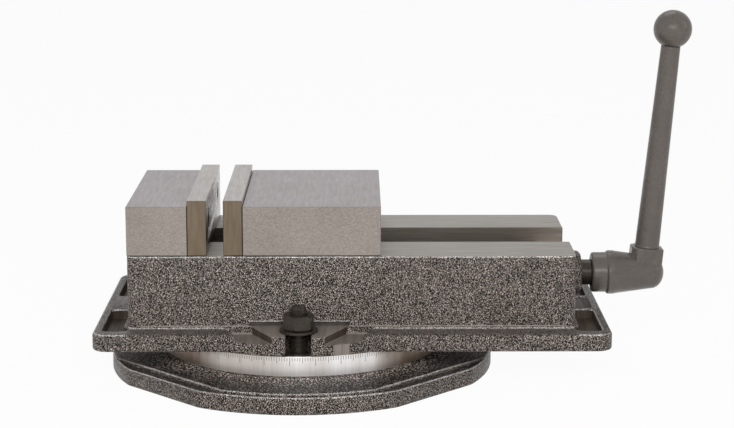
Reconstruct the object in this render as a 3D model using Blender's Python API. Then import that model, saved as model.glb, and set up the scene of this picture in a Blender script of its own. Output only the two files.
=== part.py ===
"""A six-inch milling-machine vise on a graduated swivel base.

The frame is metres with +Z up. The origin is on the swivel's axis at the base's underside.
The fixed jaw is towards -X, the screw and its crank handle towards +X, and the near side
is -Y. The vise is drawn nearly closed, with the handle standing up.
"""

import math

import bmesh
import bpy
from mathutils import Matrix, Vector

# Shared sizes
JAW_WIDTH = 0.1524
CLEARANCE = 0.0003
SMOOTH_ANGLE = math.radians(32)
WELD = 0.000001

# How many flats stand for a round shape
ROUND_SEGMENTS = 72
MEDIUM_SEGMENTS = 36
BORE_SEGMENTS = 24
SMALL_SEGMENTS = 16
TINY_SEGMENTS = 8
BULGE_STEPS = 9
SLOT_STEPS = 8
PAD_STEPS = 6
CORNER_STEPS = 4

# Swivel base
FOOT_RADIUS = 0.148
FOOT_HEIGHT = 0.013
FOOT_FLAT_SHARE = 0.141
FOOT_RIM_WIDTH = 0.0018
GUTTER_DEPTH = 0.0016
DECK_SIDE_SHARE = 0.1667
DECK_FLAT_SHARE = 0.423
DECK_EDGE_RISE = 0.001
DECK_RISE = 0.0037
RING_MARGIN = 0.0145
RING_HEIGHT = 0.016
BASE_FLOOR = 0.006
BASE_WEB = 0.006
BASE_RIB = 0.008
BASE_RIB_COUNT = 6
BASE_HUB_RADIUS = 0.036
OUTER_CAVITY_DEPTH = 0.005
SLOT_WIDTH = 0.016
SLOT_SHARE = 0.615
SLOT_SEAT_SHARE = 0.18
SLOT_SEAT_WIDTH = 0.042
SLOT_SEAT_DROP = 0.0006

# Swivel pin
PIN_RADIUS = 0.0155
PIN_DEPTH = 0.016
PIN_RISE = 0.010
PIN_CHAMFER = 0.001

# Swivel clamps
STUD_REACH = 0.0183
STUD_RADIUS = 0.00635
STUD_RISE = 0.0057
BOLT_CHAMFER = 0.0007
T_HEAD_WIDTH = 0.020
T_HEAD_HEIGHT = 0.008
T_LIP = 0.0085
T_THROAT_CLEARANCE = 0.0009
T_FLOOR_CLEARANCE = 0.001
T_SLOT_WALL = 0.001
STUD_SLOT_WIDTH = 0.019
WASHER_RADIUS = 0.0142
WASHER_THICKNESS = 0.002
NUT_ACROSS_FLATS = 0.0206
NUT_HEIGHT = 0.011
NUT_TURN = math.radians(11.8)
CLAMP_PAD_RISE = 0.0017
CLAMP_PAD_BACK = 0.074
CLAMP_PAD_FRONT = 0.039
SCOOP_DEPTH = 0.004
SCOOP_BACK = 0.020
SCOOP_FRONT = 0.028
ZERO_MARK_WIDTH = 0.012
ZERO_MARK_ANGLE = math.radians(16.5)
ZERO_MARK_DEPTH = 0.0006

# Bed casting
FLANGE_THICKNESS = 0.013
FLANGE_SIDE_OVERHANG = 0.0218
FLANGE_LEFT_OVERHANG = 0.025
FLANGE_RIGHT_OVERHANG = 0.026
FLANGE_CORNER = 0.012
FLANGE_EDGE = 0.0012
BULGE_MARGIN = 0.003
BODY_LEFT = -0.128
BODY_LENGTH = 0.334
BODY_HEIGHT = 0.0545
BODY_CORNER = 0.007
BODY_FILLET = 0.003
BODY_FILLET_STEP = 0.001
CHANNEL_WIDTH = 0.0534
CHANNEL_START = 0.004
WEB_THICKNESS = 0.020
WEB_RISE = 0.0178
CHANNEL_DROP = 0.0182
RAIL_WALL_SHARE = 0.192
RAIL_ROOF = 0.0145
RAIL_END_WALL = 0.010
RAIL_CELLS = 4
POCKET_RIM = 0.0068
POCKET_DEPTH = 0.0075
POCKET_SIDE = 0.010
POCKET_MIDDLE = 0.022
POCKET_CORNER = 0.004
END_RECESS_DEPTH = 0.001

# Jaws
JAW_END_INSET = 0.0004
JAW_RISE = 0.0372
JAW_EDGE = 0.0004
FIXED_JAW_LENGTH = 0.0449
MOVABLE_JAW_LENGTH = 0.1022
PLATE_RISE = 0.0417
PLATE_THICKNESS = 0.014
JAW_OPENING = 0.0126
PLATE_SCREW_INSET = 0.027
PLATE_SCREW_RISE = 0.0235
PLATE_SCREW_RADIUS = 0.0047
PLATE_SCREW_HEAD_RADIUS = 0.008
PLATE_SCREW_HEAD_HEIGHT = 0.0095
PLATE_SCREW_REACH = 0.020
PLATE_SCREW_KEY = 0.008
COUNTERBORE_MARGIN = 0.0004
JAW_BOLT_INSET = 0.0225
JAW_BOLT_RADIUS = 0.00635
JAW_BOLT_HEAD_RADIUS = 0.0095
JAW_BOLT_HEAD_HEIGHT = 0.0127
JAW_BOLT_REACH = 0.0165
JAW_BOLT_KEY = 0.0095
JAW_KEY_WIDTH = 0.0127
JAW_KEY_HEIGHT = 0.009
JAW_KEY_BOLT_MARGIN = 0.0112
JAW_KEY_INSET = 0.0225
TONGUE_DEPTH = 0.0085

# Jaw nut and half ball
NUT_FRONT = 0.0235
NUT_LENGTH = 0.046
NUT_DROP = 0.0155
NUT_TONGUE_GAP = 0.0008
NOSE_INSET = 0.002
NOSE_WIDTH = 0.034
NOSE_HEIGHT = 0.028
NOSE_SLOPE = math.radians(20)
HALF_BALL_RADIUS = 0.010
HALF_BALL_RISE = 0.016
CAVITY_MARGIN = 0.003
SET_SCREW_RADIUS = 0.006
SET_SCREW_LENGTH = 0.027
SET_SCREW_KEY = 0.006

# Screw and its bearing
SCREW_DROP = 0.0303
SCREW_RADIUS = 0.0127
SCREW_CHAMFER = 0.0016
SCREW_TAIL = 0.0225
JOURNAL_RADIUS = 0.0099
SHOULDER_RADIUS = 0.0165
SHOULDER_THICKNESS = 0.005
BUSH_WALL = 0.003
BOSS_RADIUS = 0.0169
BOSS_LENGTH = 0.0115
BOSS_ROUNDING = 0.004
BEARING_WASHER = 0.0015
BALL_RADIUS = 0.0023
BALL_COUNT = 8
FIRST_BALL_TURN = math.radians(9)
CAGE_THICKNESS = 0.0024
CAGE_BALL_MARGIN = 0.0003
RING_WIDTH = 0.0018
RING_OUTER_RADIUS = 0.012
RING_GROOVE_DEPTH = 0.0012
SHAFT_REVEAL = 0.0083
HEX_ACROSS_FLATS = 0.017
HEX_LENGTH = 0.027
HEX_CHAMFER = 0.001

# Crank handle
HUB_LENGTH = 0.0568
HUB_MOUTH_RADIUS = 0.0155
HUB_MOUTH_CHAMFER = 0.0016
HUB_RIDGE_RADIUS = 0.017
HUB_RIDGE_START = 0.0125
HUB_RIDGE_END = 0.0175
HUB_NOSE_RADIUS = 0.0128
HUB_NOSE_LENGTH = 0.010
ROD_OFFSET = 0.0416
ROD_TILT = math.radians(5)
ROD_LENGTH = 0.1570
ROD_FOOT_RADIUS = 0.0094
ROD_TOP_RADIUS = 0.0074
ROD_BOSS_RISE = 0.0205
ROD_BOSS_HALF_WIDTH = 0.0124
ROD_BOSS_CORNER = 0.004
ROD_BOSS_EDGE = 0.0012
ROD_STUB_RADIUS = 0.0065
ROD_STUB_LENGTH = 0.012
TOP_STUB_RADIUS = 0.0042
TOP_STUB_LENGTH = 0.011
BALL_KNOB_RADIUS = 0.0148

# Heights that follow from the sizes above
FOOT_TOP = FOOT_HEIGHT
DECK_TOP = FOOT_TOP + DECK_RISE
RING_TOP = DECK_TOP + RING_HEIGHT
FLANGE_BOTTOM = RING_TOP + CLEARANCE
FLANGE_TOP = FLANGE_BOTTOM + FLANGE_THICKNESS
CLAMP_PAD_TOP = FLANGE_TOP + CLAMP_PAD_RISE
BED_TOP = FLANGE_TOP + BODY_HEIGHT
SCREW_Z = BED_TOP - SCREW_DROP
JAW_BOTTOM = BED_TOP + CLEARANCE
JAW_TOP = BED_TOP + JAW_RISE
T_LIP_UNDERSIDE = RING_TOP - T_LIP
T_SLOT_FLOOR = T_LIP_UNDERSIDE - CLEARANCE - T_HEAD_HEIGHT - T_FLOOR_CLEARANCE
WASHER_BOTTOM = CLAMP_PAD_TOP + CLEARANCE
NUT_BOTTOM = WASHER_BOTTOM + WASHER_THICKNESS + CLEARANCE
SEAT_TOP = FOOT_TOP + DECK_EDGE_RISE - SLOT_SEAT_DROP
TONGUE_BOTTOM = BED_TOP - TONGUE_DEPTH
NOSE_BOTTOM = TONGUE_BOTTOM - NUT_TONGUE_GAP
NOSE_TOP = NOSE_BOTTOM + NOSE_HEIGHT
SET_SCREW_Z = NOSE_BOTTOM + HALF_BALL_RISE

# Widths and radii that follow from the jaws' width
HALF_WIDTH = JAW_WIDTH / 2
RAIL_WIDTH = HALF_WIDTH - CHANNEL_WIDTH / 2
RAIL_WALL = RAIL_WIDTH * RAIL_WALL_SHARE
JAW_BOLT_SPACING = CHANNEL_WIDTH + RAIL_WIDTH
JAW_KEY_LENGTH = JAW_BOLT_SPACING - 2 * JAW_KEY_BOLT_MARGIN
PLATE_SCREW_SPACING = JAW_WIDTH - 2 * PLATE_SCREW_INSET
STUD_CIRCLE_RADIUS = HALF_WIDTH + STUD_REACH
RING_RADIUS = STUD_CIRCLE_RADIUS + RING_MARGIN

# The foot's parts share the width that is left between the ring and the foot's edge
FOOT_WIDTH = FOOT_RADIUS - RING_RADIUS
FOOT_FLAT_CUT = FOOT_WIDTH * FOOT_FLAT_SHARE
DECK_SIDE_INSET = FOOT_WIDTH * DECK_SIDE_SHARE
DECK_FLAT_CUT = FOOT_WIDTH * DECK_FLAT_SHARE
SLOT_LENGTH = FOOT_WIDTH * SLOT_SHARE
SLOT_SEAT_GAP = FOOT_WIDTH * SLOT_SEAT_SHARE

# Stations along X that follow from the sizes above
BODY_RIGHT = BODY_LEFT + BODY_LENGTH
FLANGE_SIDE = HALF_WIDTH + FLANGE_SIDE_OVERHANG
FLANGE_LEFT = BODY_LEFT - FLANGE_LEFT_OVERHANG
FLANGE_RIGHT = BODY_RIGHT + FLANGE_RIGHT_OVERHANG
BULGE_RADIUS = RING_RADIUS + BULGE_MARGIN
FIXED_JAW_LEFT = BODY_LEFT + JAW_END_INSET
FIXED_JAW_FACE = FIXED_JAW_LEFT + FIXED_JAW_LENGTH
FIXED_PLATE_BACK = FIXED_JAW_FACE + CLEARANCE
FIXED_PLATE_FACE = FIXED_PLATE_BACK + PLATE_THICKNESS
MOVABLE_PLATE_FACE = FIXED_PLATE_FACE + JAW_OPENING
MOVABLE_PLATE_BACK = MOVABLE_PLATE_FACE + PLATE_THICKNESS
MOVABLE_JAW_LEFT = MOVABLE_PLATE_BACK + CLEARANCE
MOVABLE_JAW_RIGHT = MOVABLE_JAW_LEFT + MOVABLE_JAW_LENGTH
CHANNEL_LEFT = FIXED_PLATE_BACK + CHANNEL_START
CHANNEL_FLOOR = SCREW_Z - CHANNEL_DROP
WEB_LEFT = BODY_RIGHT - WEB_THICKNESS
WEB_TOP = SCREW_Z + WEB_RISE
BOSS_RIGHT = BODY_RIGHT + BOSS_LENGTH
OUTER_WASHER_LEFT = WEB_LEFT - CLEARANCE - BEARING_WASHER
BALL_CENTRE_X = OUTER_WASHER_LEFT - CLEARANCE - BALL_RADIUS
INNER_WASHER_LEFT = BALL_CENTRE_X - BALL_RADIUS - CLEARANCE - BEARING_WASHER
SHOULDER_RIGHT = INNER_WASHER_LEFT - CLEARANCE
SHOULDER_LEFT = SHOULDER_RIGHT - SHOULDER_THICKNESS
JAW_NUT_LEFT = MOVABLE_JAW_LEFT + NUT_FRONT
JAW_NUT_RIGHT = JAW_NUT_LEFT + NUT_LENGTH
SCREW_LEFT = JAW_NUT_LEFT - JAW_OPENING - SCREW_TAIL
RING_RIGHT = BOSS_RIGHT
RING_LEFT = RING_RIGHT - RING_WIDTH
HUB_LEFT = BOSS_RIGHT + SHAFT_REVEAL
HEX_LEFT = HUB_LEFT - CLEARANCE
HEX_RIGHT = HEX_LEFT + HEX_LENGTH
HUB_RIGHT = HUB_LEFT + HUB_LENGTH

# Radii that follow from the sizes above
BORE_RADIUS = JOURNAL_RADIUS + CLEARANCE
BUSH_RADIUS = BORE_RADIUS + BUSH_WALL
BALL_CIRCLE_RADIUS = (BORE_RADIUS + SHOULDER_RADIUS) / 2
RING_BORE_RADIUS = JOURNAL_RADIUS - RING_GROOVE_DEPTH + CLEARANCE

# Finishes: colour, roughness, metallic
HAMMERED_PAINT = ((0.13, 0.11, 0.10), 0.45, 0.0)
HANDLE_PAINT = ((0.11, 0.095, 0.085), 0.5, 0.0)
GROUND_STEEL = ((0.40, 0.37, 0.36), 0.4, 1.0)
PLATE_STEEL = ((0.33, 0.29, 0.25), 0.4, 1.0)
BLACK_STEEL = ((0.03, 0.027, 0.024), 0.4, 0.6)
BRIGHT_STEEL = ((0.55, 0.54, 0.53), 0.3, 1.0)
BRONZE = ((0.43, 0.27, 0.12), 0.4, 1.0)


def clear_scene():
    """Remove whatever objects the file holds."""
    for item in list(bpy.data.objects):
        bpy.data.objects.remove(item, do_unlink=True)


def make_finish(name, finish):
    """One Principled material for one sub-part."""
    colour, roughness, metallic = finish
    material = bpy.data.materials.new(name + "_finish")
    material.use_nodes = True
    shader = material.node_tree.nodes["Principled BSDF"]
    shader.inputs["Base Color"].default_value = (*colour, 1.0)
    shader.inputs["Roughness"].default_value = roughness
    shader.inputs["Metallic"].default_value = metallic
    return material


def add_solid(name, shape, finish=None):
    """Turn a bmesh into a smooth-shaded object with its faces pointing out."""
    bmesh.ops.recalc_face_normals(shape, faces=shape.faces)
    mesh = bpy.data.meshes.new(name)
    shape.to_mesh(mesh)
    shape.free()
    mesh.shade_smooth()
    mesh.set_sharp_from_angle(angle=SMOOTH_ANGLE)
    solid = bpy.data.objects.new(name, mesh)
    bpy.context.scene.collection.objects.link(solid)
    if finish is not None:
        mesh.materials.append(make_finish(name, finish))
    return solid


def box_shape(low, high, edge=0.0):
    """A box between two corners, with its edges bevelled by edge."""
    low, high = Vector(low), Vector(high)
    place = Matrix.Translation((low + high) / 2) @ Matrix.Diagonal((high - low).to_4d())
    shape = bmesh.new()
    bmesh.ops.create_cube(shape, size=1.0, matrix=place)
    if edge > 0.0:
        bmesh.ops.bevel(
            shape, geom=shape.edges[:], offset=edge, segments=1, profile=0.5, affect="EDGES"
        )
    return shape


def lofted_shape(loops):
    """A closed solid through loops of equally many points, with flat ends."""
    shape = bmesh.new()
    rings = [[shape.verts.new(point) for point in loop] for loop in loops]
    shape.faces.new(rings[0])
    shape.faces.new(rings[-1])
    count = len(rings[0])
    for lower, upper in zip(rings, rings[1:]):
        for index in range(count):
            following = (index + 1) % count
            shape.faces.new((lower[index], lower[following], upper[following], upper[index]))
    return shape


def prism_shape(outline, bottom, top):
    """An outline in the XY plane drawn up from one height to another."""
    return lofted_shape([[(x, y, height) for x, y in outline] for height in (bottom, top)])


def edged_prism_shape(outlines, bottom, top, edge):
    """A prism whose lower and upper edges are chamfered: outlines are the inset and the full one."""
    inset, full = outlines
    heights = (bottom, bottom + edge, top - edge, top)
    return lofted_shape(
        [[(x, y, height) for x, y in loop] for loop, height in zip((inset, full, full, inset), heights)]
    )


def turned_shape(profile, segments, closed=False):
    """Spin (radius, height) points about Z. A closed profile makes a ring."""
    shape = bmesh.new()
    points = [shape.verts.new((radius, 0.0, height)) for radius, height in profile]
    edges = [shape.edges.new(pair) for pair in zip(points, points[1:])]
    if closed:
        edges.append(shape.edges.new((points[-1], points[0])))
    bmesh.ops.spin(
        shape, geom=points + edges, cent=(0.0, 0.0, 0.0), axis=(0.0, 0.0, 1.0),
        angle=2 * math.pi, steps=segments, use_merge=True, use_duplicate=False,
    )
    bmesh.ops.remove_doubles(shape, verts=shape.verts[:], dist=WELD)
    return shape


def ring_profile(inner, outer, bottom, top):
    """The four corners of a ring's section."""
    return [(inner, bottom), (outer, bottom), (outer, top), (inner, top)]


def cylinder_profile(radius, bottom, top, edge=0.0):
    """A solid cylinder's half section, from axis to axis, with chamfered ends where edge is given."""
    if edge > 0.0:
        return [
            (0.0, bottom), (radius - edge, bottom), (radius, bottom + edge),
            (radius, top - edge), (radius - edge, top), (0.0, top),
        ]
    return [(0.0, bottom), (radius, bottom), (radius, top), (0.0, top)]


def along_x(height, x=0.0, y=0.0):
    """The placement that lays a turned piece's axis along +X at one height."""
    return Matrix.Translation((x, y, height)) @ Matrix.Rotation(math.pi / 2, 4, "Y")


def placed(shape, matrix):
    """Move a whole shape."""
    bmesh.ops.transform(shape, matrix=matrix, verts=shape.verts[:])
    return shape


def cut(target, name, shape):
    """Take a shape away from a solid."""
    apply_boolean(target, name, shape, "DIFFERENCE")


def fuse(target, name, shape):
    """Join a shape to a solid."""
    apply_boolean(target, name, shape, "UNION")


def apply_boolean(target, name, shape, operation):
    """Add one Boolean modifier, with its hidden tool object."""
    tool = add_solid(f"{target.name}_{name}", shape)
    tool.hide_render = True
    tool.display_type = "WIRE"
    modifier = target.modifiers.new(name, "BOOLEAN")
    modifier.operation = operation
    modifier.solver = "EXACT"
    modifier.object = tool


def polar_outline(end_radius, side_radius, flat_distance, count=ROUND_SEGMENTS):
    """A disc whose radius differs at the X ends and the Y sides, with four diagonal flats."""
    points = []
    for index in range(count):
        angle = 2 * math.pi * index / count
        from_diagonal = abs(angle % (math.pi / 2) - math.pi / 4)
        round_radius = end_radius if abs(math.cos(angle)) > abs(math.sin(angle)) else side_radius
        radius = min(flat_distance / math.cos(from_diagonal), round_radius)
        points.append((radius * math.cos(angle), radius * math.sin(angle)))
    return points


def arc(centre, radius, first, last, steps):
    """Points on an arc, both ends included."""
    angles = [first + (last - first) * step / steps for step in range(steps + 1)]
    return [(centre[0] + radius * math.cos(a), centre[1] + radius * math.sin(a)) for a in angles]


def rounded_rectangle(left, right, front, back, radius):
    """A rectangle in the XY plane with round corners, anticlockwise."""
    corners = (
        (right - radius, back - radius, 0.0),
        (left + radius, back - radius, math.pi / 2),
        (left + radius, front + radius, math.pi),
        (right - radius, front + radius, 3 * math.pi / 2),
    )
    points = []
    for x, y, first in corners:
        points += arc((x, y), radius, first, first + math.pi / 2, CORNER_STEPS)
    return points


def flange_outline(inset):
    """The bed flange: a rounded rectangle that bulges over the ring on its near and far sides."""
    corner = FLANGE_CORNER - inset
    side = FLANGE_SIDE - inset
    bulge = BULGE_RADIUS - inset
    reach = math.acos(side / bulge)
    right, left = FLANGE_RIGHT - inset - corner, FLANGE_LEFT + inset + corner
    quarter = math.pi / 2
    return (
        arc((right, side - corner), corner, 0.0, quarter, CORNER_STEPS)
        + arc((0.0, 0.0), bulge, quarter - reach, quarter + reach, BULGE_STEPS)
        + arc((left, side - corner), corner, quarter, 2 * quarter, CORNER_STEPS)
        + arc((left, corner - side), corner, 2 * quarter, 3 * quarter, CORNER_STEPS)
        + arc((0.0, 0.0), bulge, 3 * quarter - reach, 3 * quarter + reach, BULGE_STEPS)
        + arc((right, corner - side), corner, 3 * quarter, 4 * quarter, CORNER_STEPS)
    )


def hexagon(across_flats, first_angle=0.0):
    """The corners of a hexagon."""
    radius = across_flats / math.sqrt(3)
    angles = [first_angle + math.pi * index / 3 for index in range(6)]
    return [(radius * math.cos(angle), radius * math.sin(angle)) for angle in angles]


def sector_outline(inner, outer, middle, half_angle):
    """The outline of a ring's sector."""
    far = arc((0.0, 0.0), outer, middle - half_angle, middle + half_angle, SLOT_STEPS)
    near = arc((0.0, 0.0), inner, middle + half_angle, middle - half_angle, SLOT_STEPS)
    return far + near


def mirrored(outline):
    """An outline turned half round about the Z axis."""
    return [(-x, -y) for x, y in outline]


def make_base_casting():
    """The swivel base: foot, gutter, deck with its clamping ends, graduated ring and T-slot."""
    foot_flat = FOOT_RADIUS - FOOT_FLAT_CUT
    foot = polar_outline(FOOT_RADIUS, FOOT_RADIUS, foot_flat)
    base = add_solid("base_casting", prism_shape(foot, 0.0, FOOT_TOP), HAMMERED_PAINT)
    rim = polar_outline(
        FOOT_RADIUS - FOOT_RIM_WIDTH, FOOT_RADIUS - FOOT_RIM_WIDTH, foot_flat - FOOT_RIM_WIDTH
    )
    cut(base, "gutter", prism_shape(rim, FOOT_TOP - GUTTER_DEPTH, FOOT_TOP + GUTTER_DEPTH))
    fuse(base, "deck", deck_shape())
    top = cylinder_profile(RING_RADIUS, FOOT_TOP - GUTTER_DEPTH * 2, RING_TOP)
    fuse(base, "ring", turned_shape(top, ROUND_SEGMENTS))
    cut_t_slot(base)
    cut_base_underside(base)
    cut_clamping_slots(base)
    pin_bore = cylinder_profile(PIN_RADIUS + CLEARANCE, RING_TOP - PIN_DEPTH, RING_TOP + PIN_DEPTH)
    cut(base, "pin_bore", turned_shape(pin_bore, BORE_SEGMENTS))
    return base


def deck_shape():
    """The deck rises from its edge to the foot of the ring."""
    end_radius = FOOT_RADIUS - CLEARANCE
    side_radius = FOOT_RADIUS - DECK_SIDE_INSET
    edge = polar_outline(end_radius, side_radius, end_radius - DECK_FLAT_CUT)
    crown = arc((0.0, 0.0), RING_RADIUS + DECK_EDGE_RISE, 0.0, 2 * math.pi, ROUND_SEGMENTS)[:-1]
    levels = (
        (edge, FOOT_TOP - GUTTER_DEPTH * 2),
        (edge, FOOT_TOP + DECK_EDGE_RISE),
        (crown, DECK_TOP),
    )
    return lofted_shape([[(x, y, height) for x, y in loop] for loop, height in levels])


def cut_t_slot(base):
    """The round T-slot that the clamp bolts run in, and the two openings that let them in."""
    throat = STUD_RADIUS + T_THROAT_CLEARANCE
    undercut = T_HEAD_WIDTH / 2 + T_SLOT_WALL
    middle = STUD_CIRCLE_RADIUS
    section = [
        (middle - undercut, T_SLOT_FLOOR),
        (middle + undercut, T_SLOT_FLOOR),
        (middle + undercut, T_LIP_UNDERSIDE),
        (middle + throat, T_LIP_UNDERSIDE),
        (middle + throat, RING_TOP + T_LIP),
        (middle - throat, RING_TOP + T_LIP),
        (middle - throat, T_LIP_UNDERSIDE),
        (middle - undercut, T_LIP_UNDERSIDE),
    ]
    cut(base, "t_slot", turned_shape(section, ROUND_SEGMENTS, closed=True))
    for side, name in ((1, "right"), (-1, "left")):
        low = (side * middle - undercut, -undercut, -T_LIP)
        high = (side * middle + undercut, undercut, T_SLOT_FLOOR + T_FLOOR_CLEARANCE)
        cut(base, f"bolt_opening_{name}", box_shape(low, high))


def cut_base_underside(base):
    """Ribbed cells inside the ring and a shallow recess outside it."""
    inner_wall = STUD_CIRCLE_RADIUS - T_HEAD_WIDTH / 2 - T_SLOT_WALL - BASE_WEB
    roof = RING_TOP - PIN_DEPTH + BASE_FLOOR
    for index in range(BASE_RIB_COUNT):
        middle = 2 * math.pi * (index + 0.5) / BASE_RIB_COUNT
        half_angle = math.pi / BASE_RIB_COUNT - BASE_RIB / (BASE_HUB_RADIUS + inner_wall)
        outline = sector_outline(BASE_HUB_RADIUS, inner_wall, middle, half_angle)
        cut(base, f"cell_{index + 1}", prism_shape(outline, -BASE_FLOOR, roof))
    outer_wall = FOOT_RADIUS - FOOT_FLAT_CUT - BASE_WEB
    recess = ring_profile(RING_RADIUS, outer_wall, -OUTER_CAVITY_DEPTH, OUTER_CAVITY_DEPTH)
    cut(base, "recess", turned_shape(recess, ROUND_SEGMENTS, closed=True))


def cut_clamping_slots(base):
    """An open slot at each end of the base, with a flat seat round it for a clamp nut."""
    half = SLOT_WIDTH / 2
    quarter = math.pi / 2
    inner = FOOT_RADIUS - SLOT_LENGTH + half
    outer = FOOT_RADIUS + half
    slot = arc((inner, 0.0), half, quarter, 3 * quarter, SLOT_STEPS) + [(outer, -half), (outer, half)]
    seat_half = SLOT_SEAT_WIDTH / 2
    seat_left = RING_RADIUS + SLOT_SEAT_GAP
    for outline, name in ((slot, "right"), (mirrored(slot), "left")):
        cut(base, f"slot_{name}", prism_shape(outline, -half, RING_TOP))
    for side, name in ((1, "right"), (-1, "left")):
        xs = sorted((side * seat_left, side * outer))
        low, high = (xs[0], -seat_half, SEAT_TOP), (xs[1], seat_half, RING_TOP)
        cut(base, f"seat_{name}", box_shape(low, high))


def make_swivel_pin():
    """The centre pin, fixed in the base and turning in the bed."""
    profile = cylinder_profile(
        PIN_RADIUS, RING_TOP - PIN_DEPTH + CLEARANCE, RING_TOP + PIN_RISE, PIN_CHAMFER
    )
    return add_solid("swivel_pin", turned_shape(profile, BORE_SEGMENTS), BRIGHT_STEEL)


def make_bed_casting():
    """The bed: flange, body with two rails, screw channel and the bearing boss at the end."""
    outlines = (flange_outline(FLANGE_EDGE), flange_outline(0.0))
    shape = edged_prism_shape(outlines, FLANGE_BOTTOM, FLANGE_TOP, FLANGE_EDGE)
    bed = add_solid("bed_casting", shape, HAMMERED_PAINT)
    cut_end_pockets(bed)
    fuse(bed, "body", body_shape())
    for side, name in ((-1, "near"), (1, "far")):
        add_clamp_pad(bed, side, name)
    fuse(bed, "boss", bearing_boss_shape())
    cut_channel(bed)
    cut_rail_cells(bed)
    cut_jaw_seat(bed)
    pin_bore = cylinder_profile(
        PIN_RADIUS + CLEARANCE, FLANGE_BOTTOM - PIN_RISE, RING_TOP + PIN_RISE + CLEARANCE
    )
    cut(bed, "pin_bore", turned_shape(pin_bore, BORE_SEGMENTS))
    cut(bed, "screw_bore", placed(turned_shape(screw_bore_profile(), BORE_SEGMENTS), along_x(SCREW_Z)))
    return bed


def screw_bore_profile():
    """The stepped bore of the web and boss: for the bush, the journal and the retaining ring."""
    bush, journal, ring = BUSH_RADIUS + CLEARANCE, BORE_RADIUS, RING_OUTER_RADIUS + CLEARANCE
    left, right = WEB_LEFT - WEB_THICKNESS, BOSS_RIGHT + BOSS_LENGTH
    ring_seat = RING_LEFT - CLEARANCE
    return [
        (0.0, left), (bush, left), (bush, BODY_RIGHT), (journal, BODY_RIGHT),
        (journal, ring_seat), (ring, ring_seat), (ring, right), (0.0, right),
    ]


def body_shape():
    """The body flares out at its foot into the flange."""
    loops = []
    for spread, height in (
        (BODY_FILLET, FLANGE_TOP - POCKET_DEPTH - BODY_FILLET),
        (BODY_FILLET, FLANGE_TOP + CLEARANCE),
        (BODY_FILLET_STEP, FLANGE_TOP + BODY_FILLET_STEP),
        (0.0, FLANGE_TOP + BODY_FILLET),
        (0.0, BED_TOP),
    ):
        outline = rounded_rectangle(
            BODY_LEFT - spread, BODY_RIGHT + spread, -HALF_WIDTH - spread, HALF_WIDTH + spread,
            BODY_CORNER + spread,
        )
        loops.append([(x, y, height) for x, y in outline])
    return lofted_shape(loops)


def add_clamp_pad(bed, side, name):
    """The raised pad round one clamp stud, a scoop at each side of it and its open slot."""
    edge_radius = BULGE_RADIUS - CLEARANCE
    back, front = CLAMP_PAD_BACK / 2, CLAMP_PAD_FRONT / 2
    front_angle = math.asin(front / edge_radius)
    rear_y = -HALF_WIDTH
    middle = -math.pi / 2
    pad_front = arc((0.0, 0.0), edge_radius, middle - front_angle, middle + front_angle, PAD_STEPS)
    corner_y = -math.sqrt(edge_radius**2 - front**2)
    slope = (back - front) / (rear_y - corner_y)
    outer_y = -BULGE_RADIUS - SCOOP_DEPTH
    outer_x = back - slope * (rear_y - outer_y)
    for hand, word in ((1, "right"), (-1, "left")):
        scoop = [
            (hand * back, rear_y), (hand * (back + SCOOP_BACK), rear_y),
            (hand * (front + SCOOP_FRONT), -FLANGE_SIDE), (hand * (front + SCOOP_FRONT), outer_y),
            (hand * outer_x, outer_y),
        ]
        scoop = scoop if side < 0 else mirrored(scoop)
        shape = prism_shape(scoop, FLANGE_TOP - SCOOP_DEPTH, FLANGE_TOP + BODY_FILLET)
        cut(bed, f"scoop_{name}_{word}", shape)
    rear_end = rear_y + BODY_FILLET
    pad = [(back, rear_end), (-back, rear_end), (-back, rear_y)] + pad_front + [(back, rear_y)]
    pad = pad if side < 0 else mirrored(pad)
    fuse(bed, f"pad_{name}", prism_shape(pad, FLANGE_BOTTOM + SCOOP_DEPTH, CLAMP_PAD_TOP))
    half = STUD_SLOT_WIDTH / 2
    slot = arc((0.0, -STUD_CIRCLE_RADIUS), half, 0.0, math.pi, SLOT_STEPS)
    slot += [(-half, outer_y), (half, outer_y)]
    slot = slot if side < 0 else mirrored(slot)
    cut(bed, f"stud_slot_{name}", prism_shape(slot, FLANGE_BOTTOM - half, CLAMP_PAD_TOP + half))
    turn = Matrix.Rotation(ZERO_MARK_ANGLE + (0.0 if side < 0 else math.pi), 4, "Z")
    width = ZERO_MARK_WIDTH / 2
    low = (-width, -BULGE_RADIUS - SCOOP_DEPTH, FLANGE_BOTTOM - SCOOP_DEPTH)
    high = (width, -BULGE_RADIUS + ZERO_MARK_DEPTH, FLANGE_TOP - SCOOP_DEPTH - CLEARANCE)
    cut(bed, f"zero_facet_{name}", placed(box_shape(low, high), turn))


def cut_end_pockets(bed):
    """Recesses in the flange's ends, with a rib left between the near and the far one."""
    inner = HALF_WIDTH + POCKET_SIDE
    left = (FLANGE_LEFT + POCKET_RIM, BODY_LEFT)
    right = (BODY_RIGHT, FLANGE_RIGHT - POCKET_RIM)
    for (low_x, high_x), end in ((left, "left"), (right, "right")):
        for low_y, high_y, name in (
            (-inner, -POCKET_MIDDLE, "near"), (POCKET_MIDDLE, inner, "far"),
        ):
            outline = rounded_rectangle(low_x, high_x, low_y, high_y, POCKET_CORNER)
            shape = prism_shape(outline, FLANGE_TOP - POCKET_DEPTH, FLANGE_TOP + POCKET_DEPTH)
            cut(bed, f"pocket_{end}_{name}", shape)
    middle = POCKET_MIDDLE - POCKET_RIM / 2
    outline = rounded_rectangle(*right, -middle, middle, POCKET_CORNER)
    shape = prism_shape(outline, FLANGE_TOP - END_RECESS_DEPTH, FLANGE_TOP + END_RECESS_DEPTH)
    cut(bed, "pocket_right_middle", shape)


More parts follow.
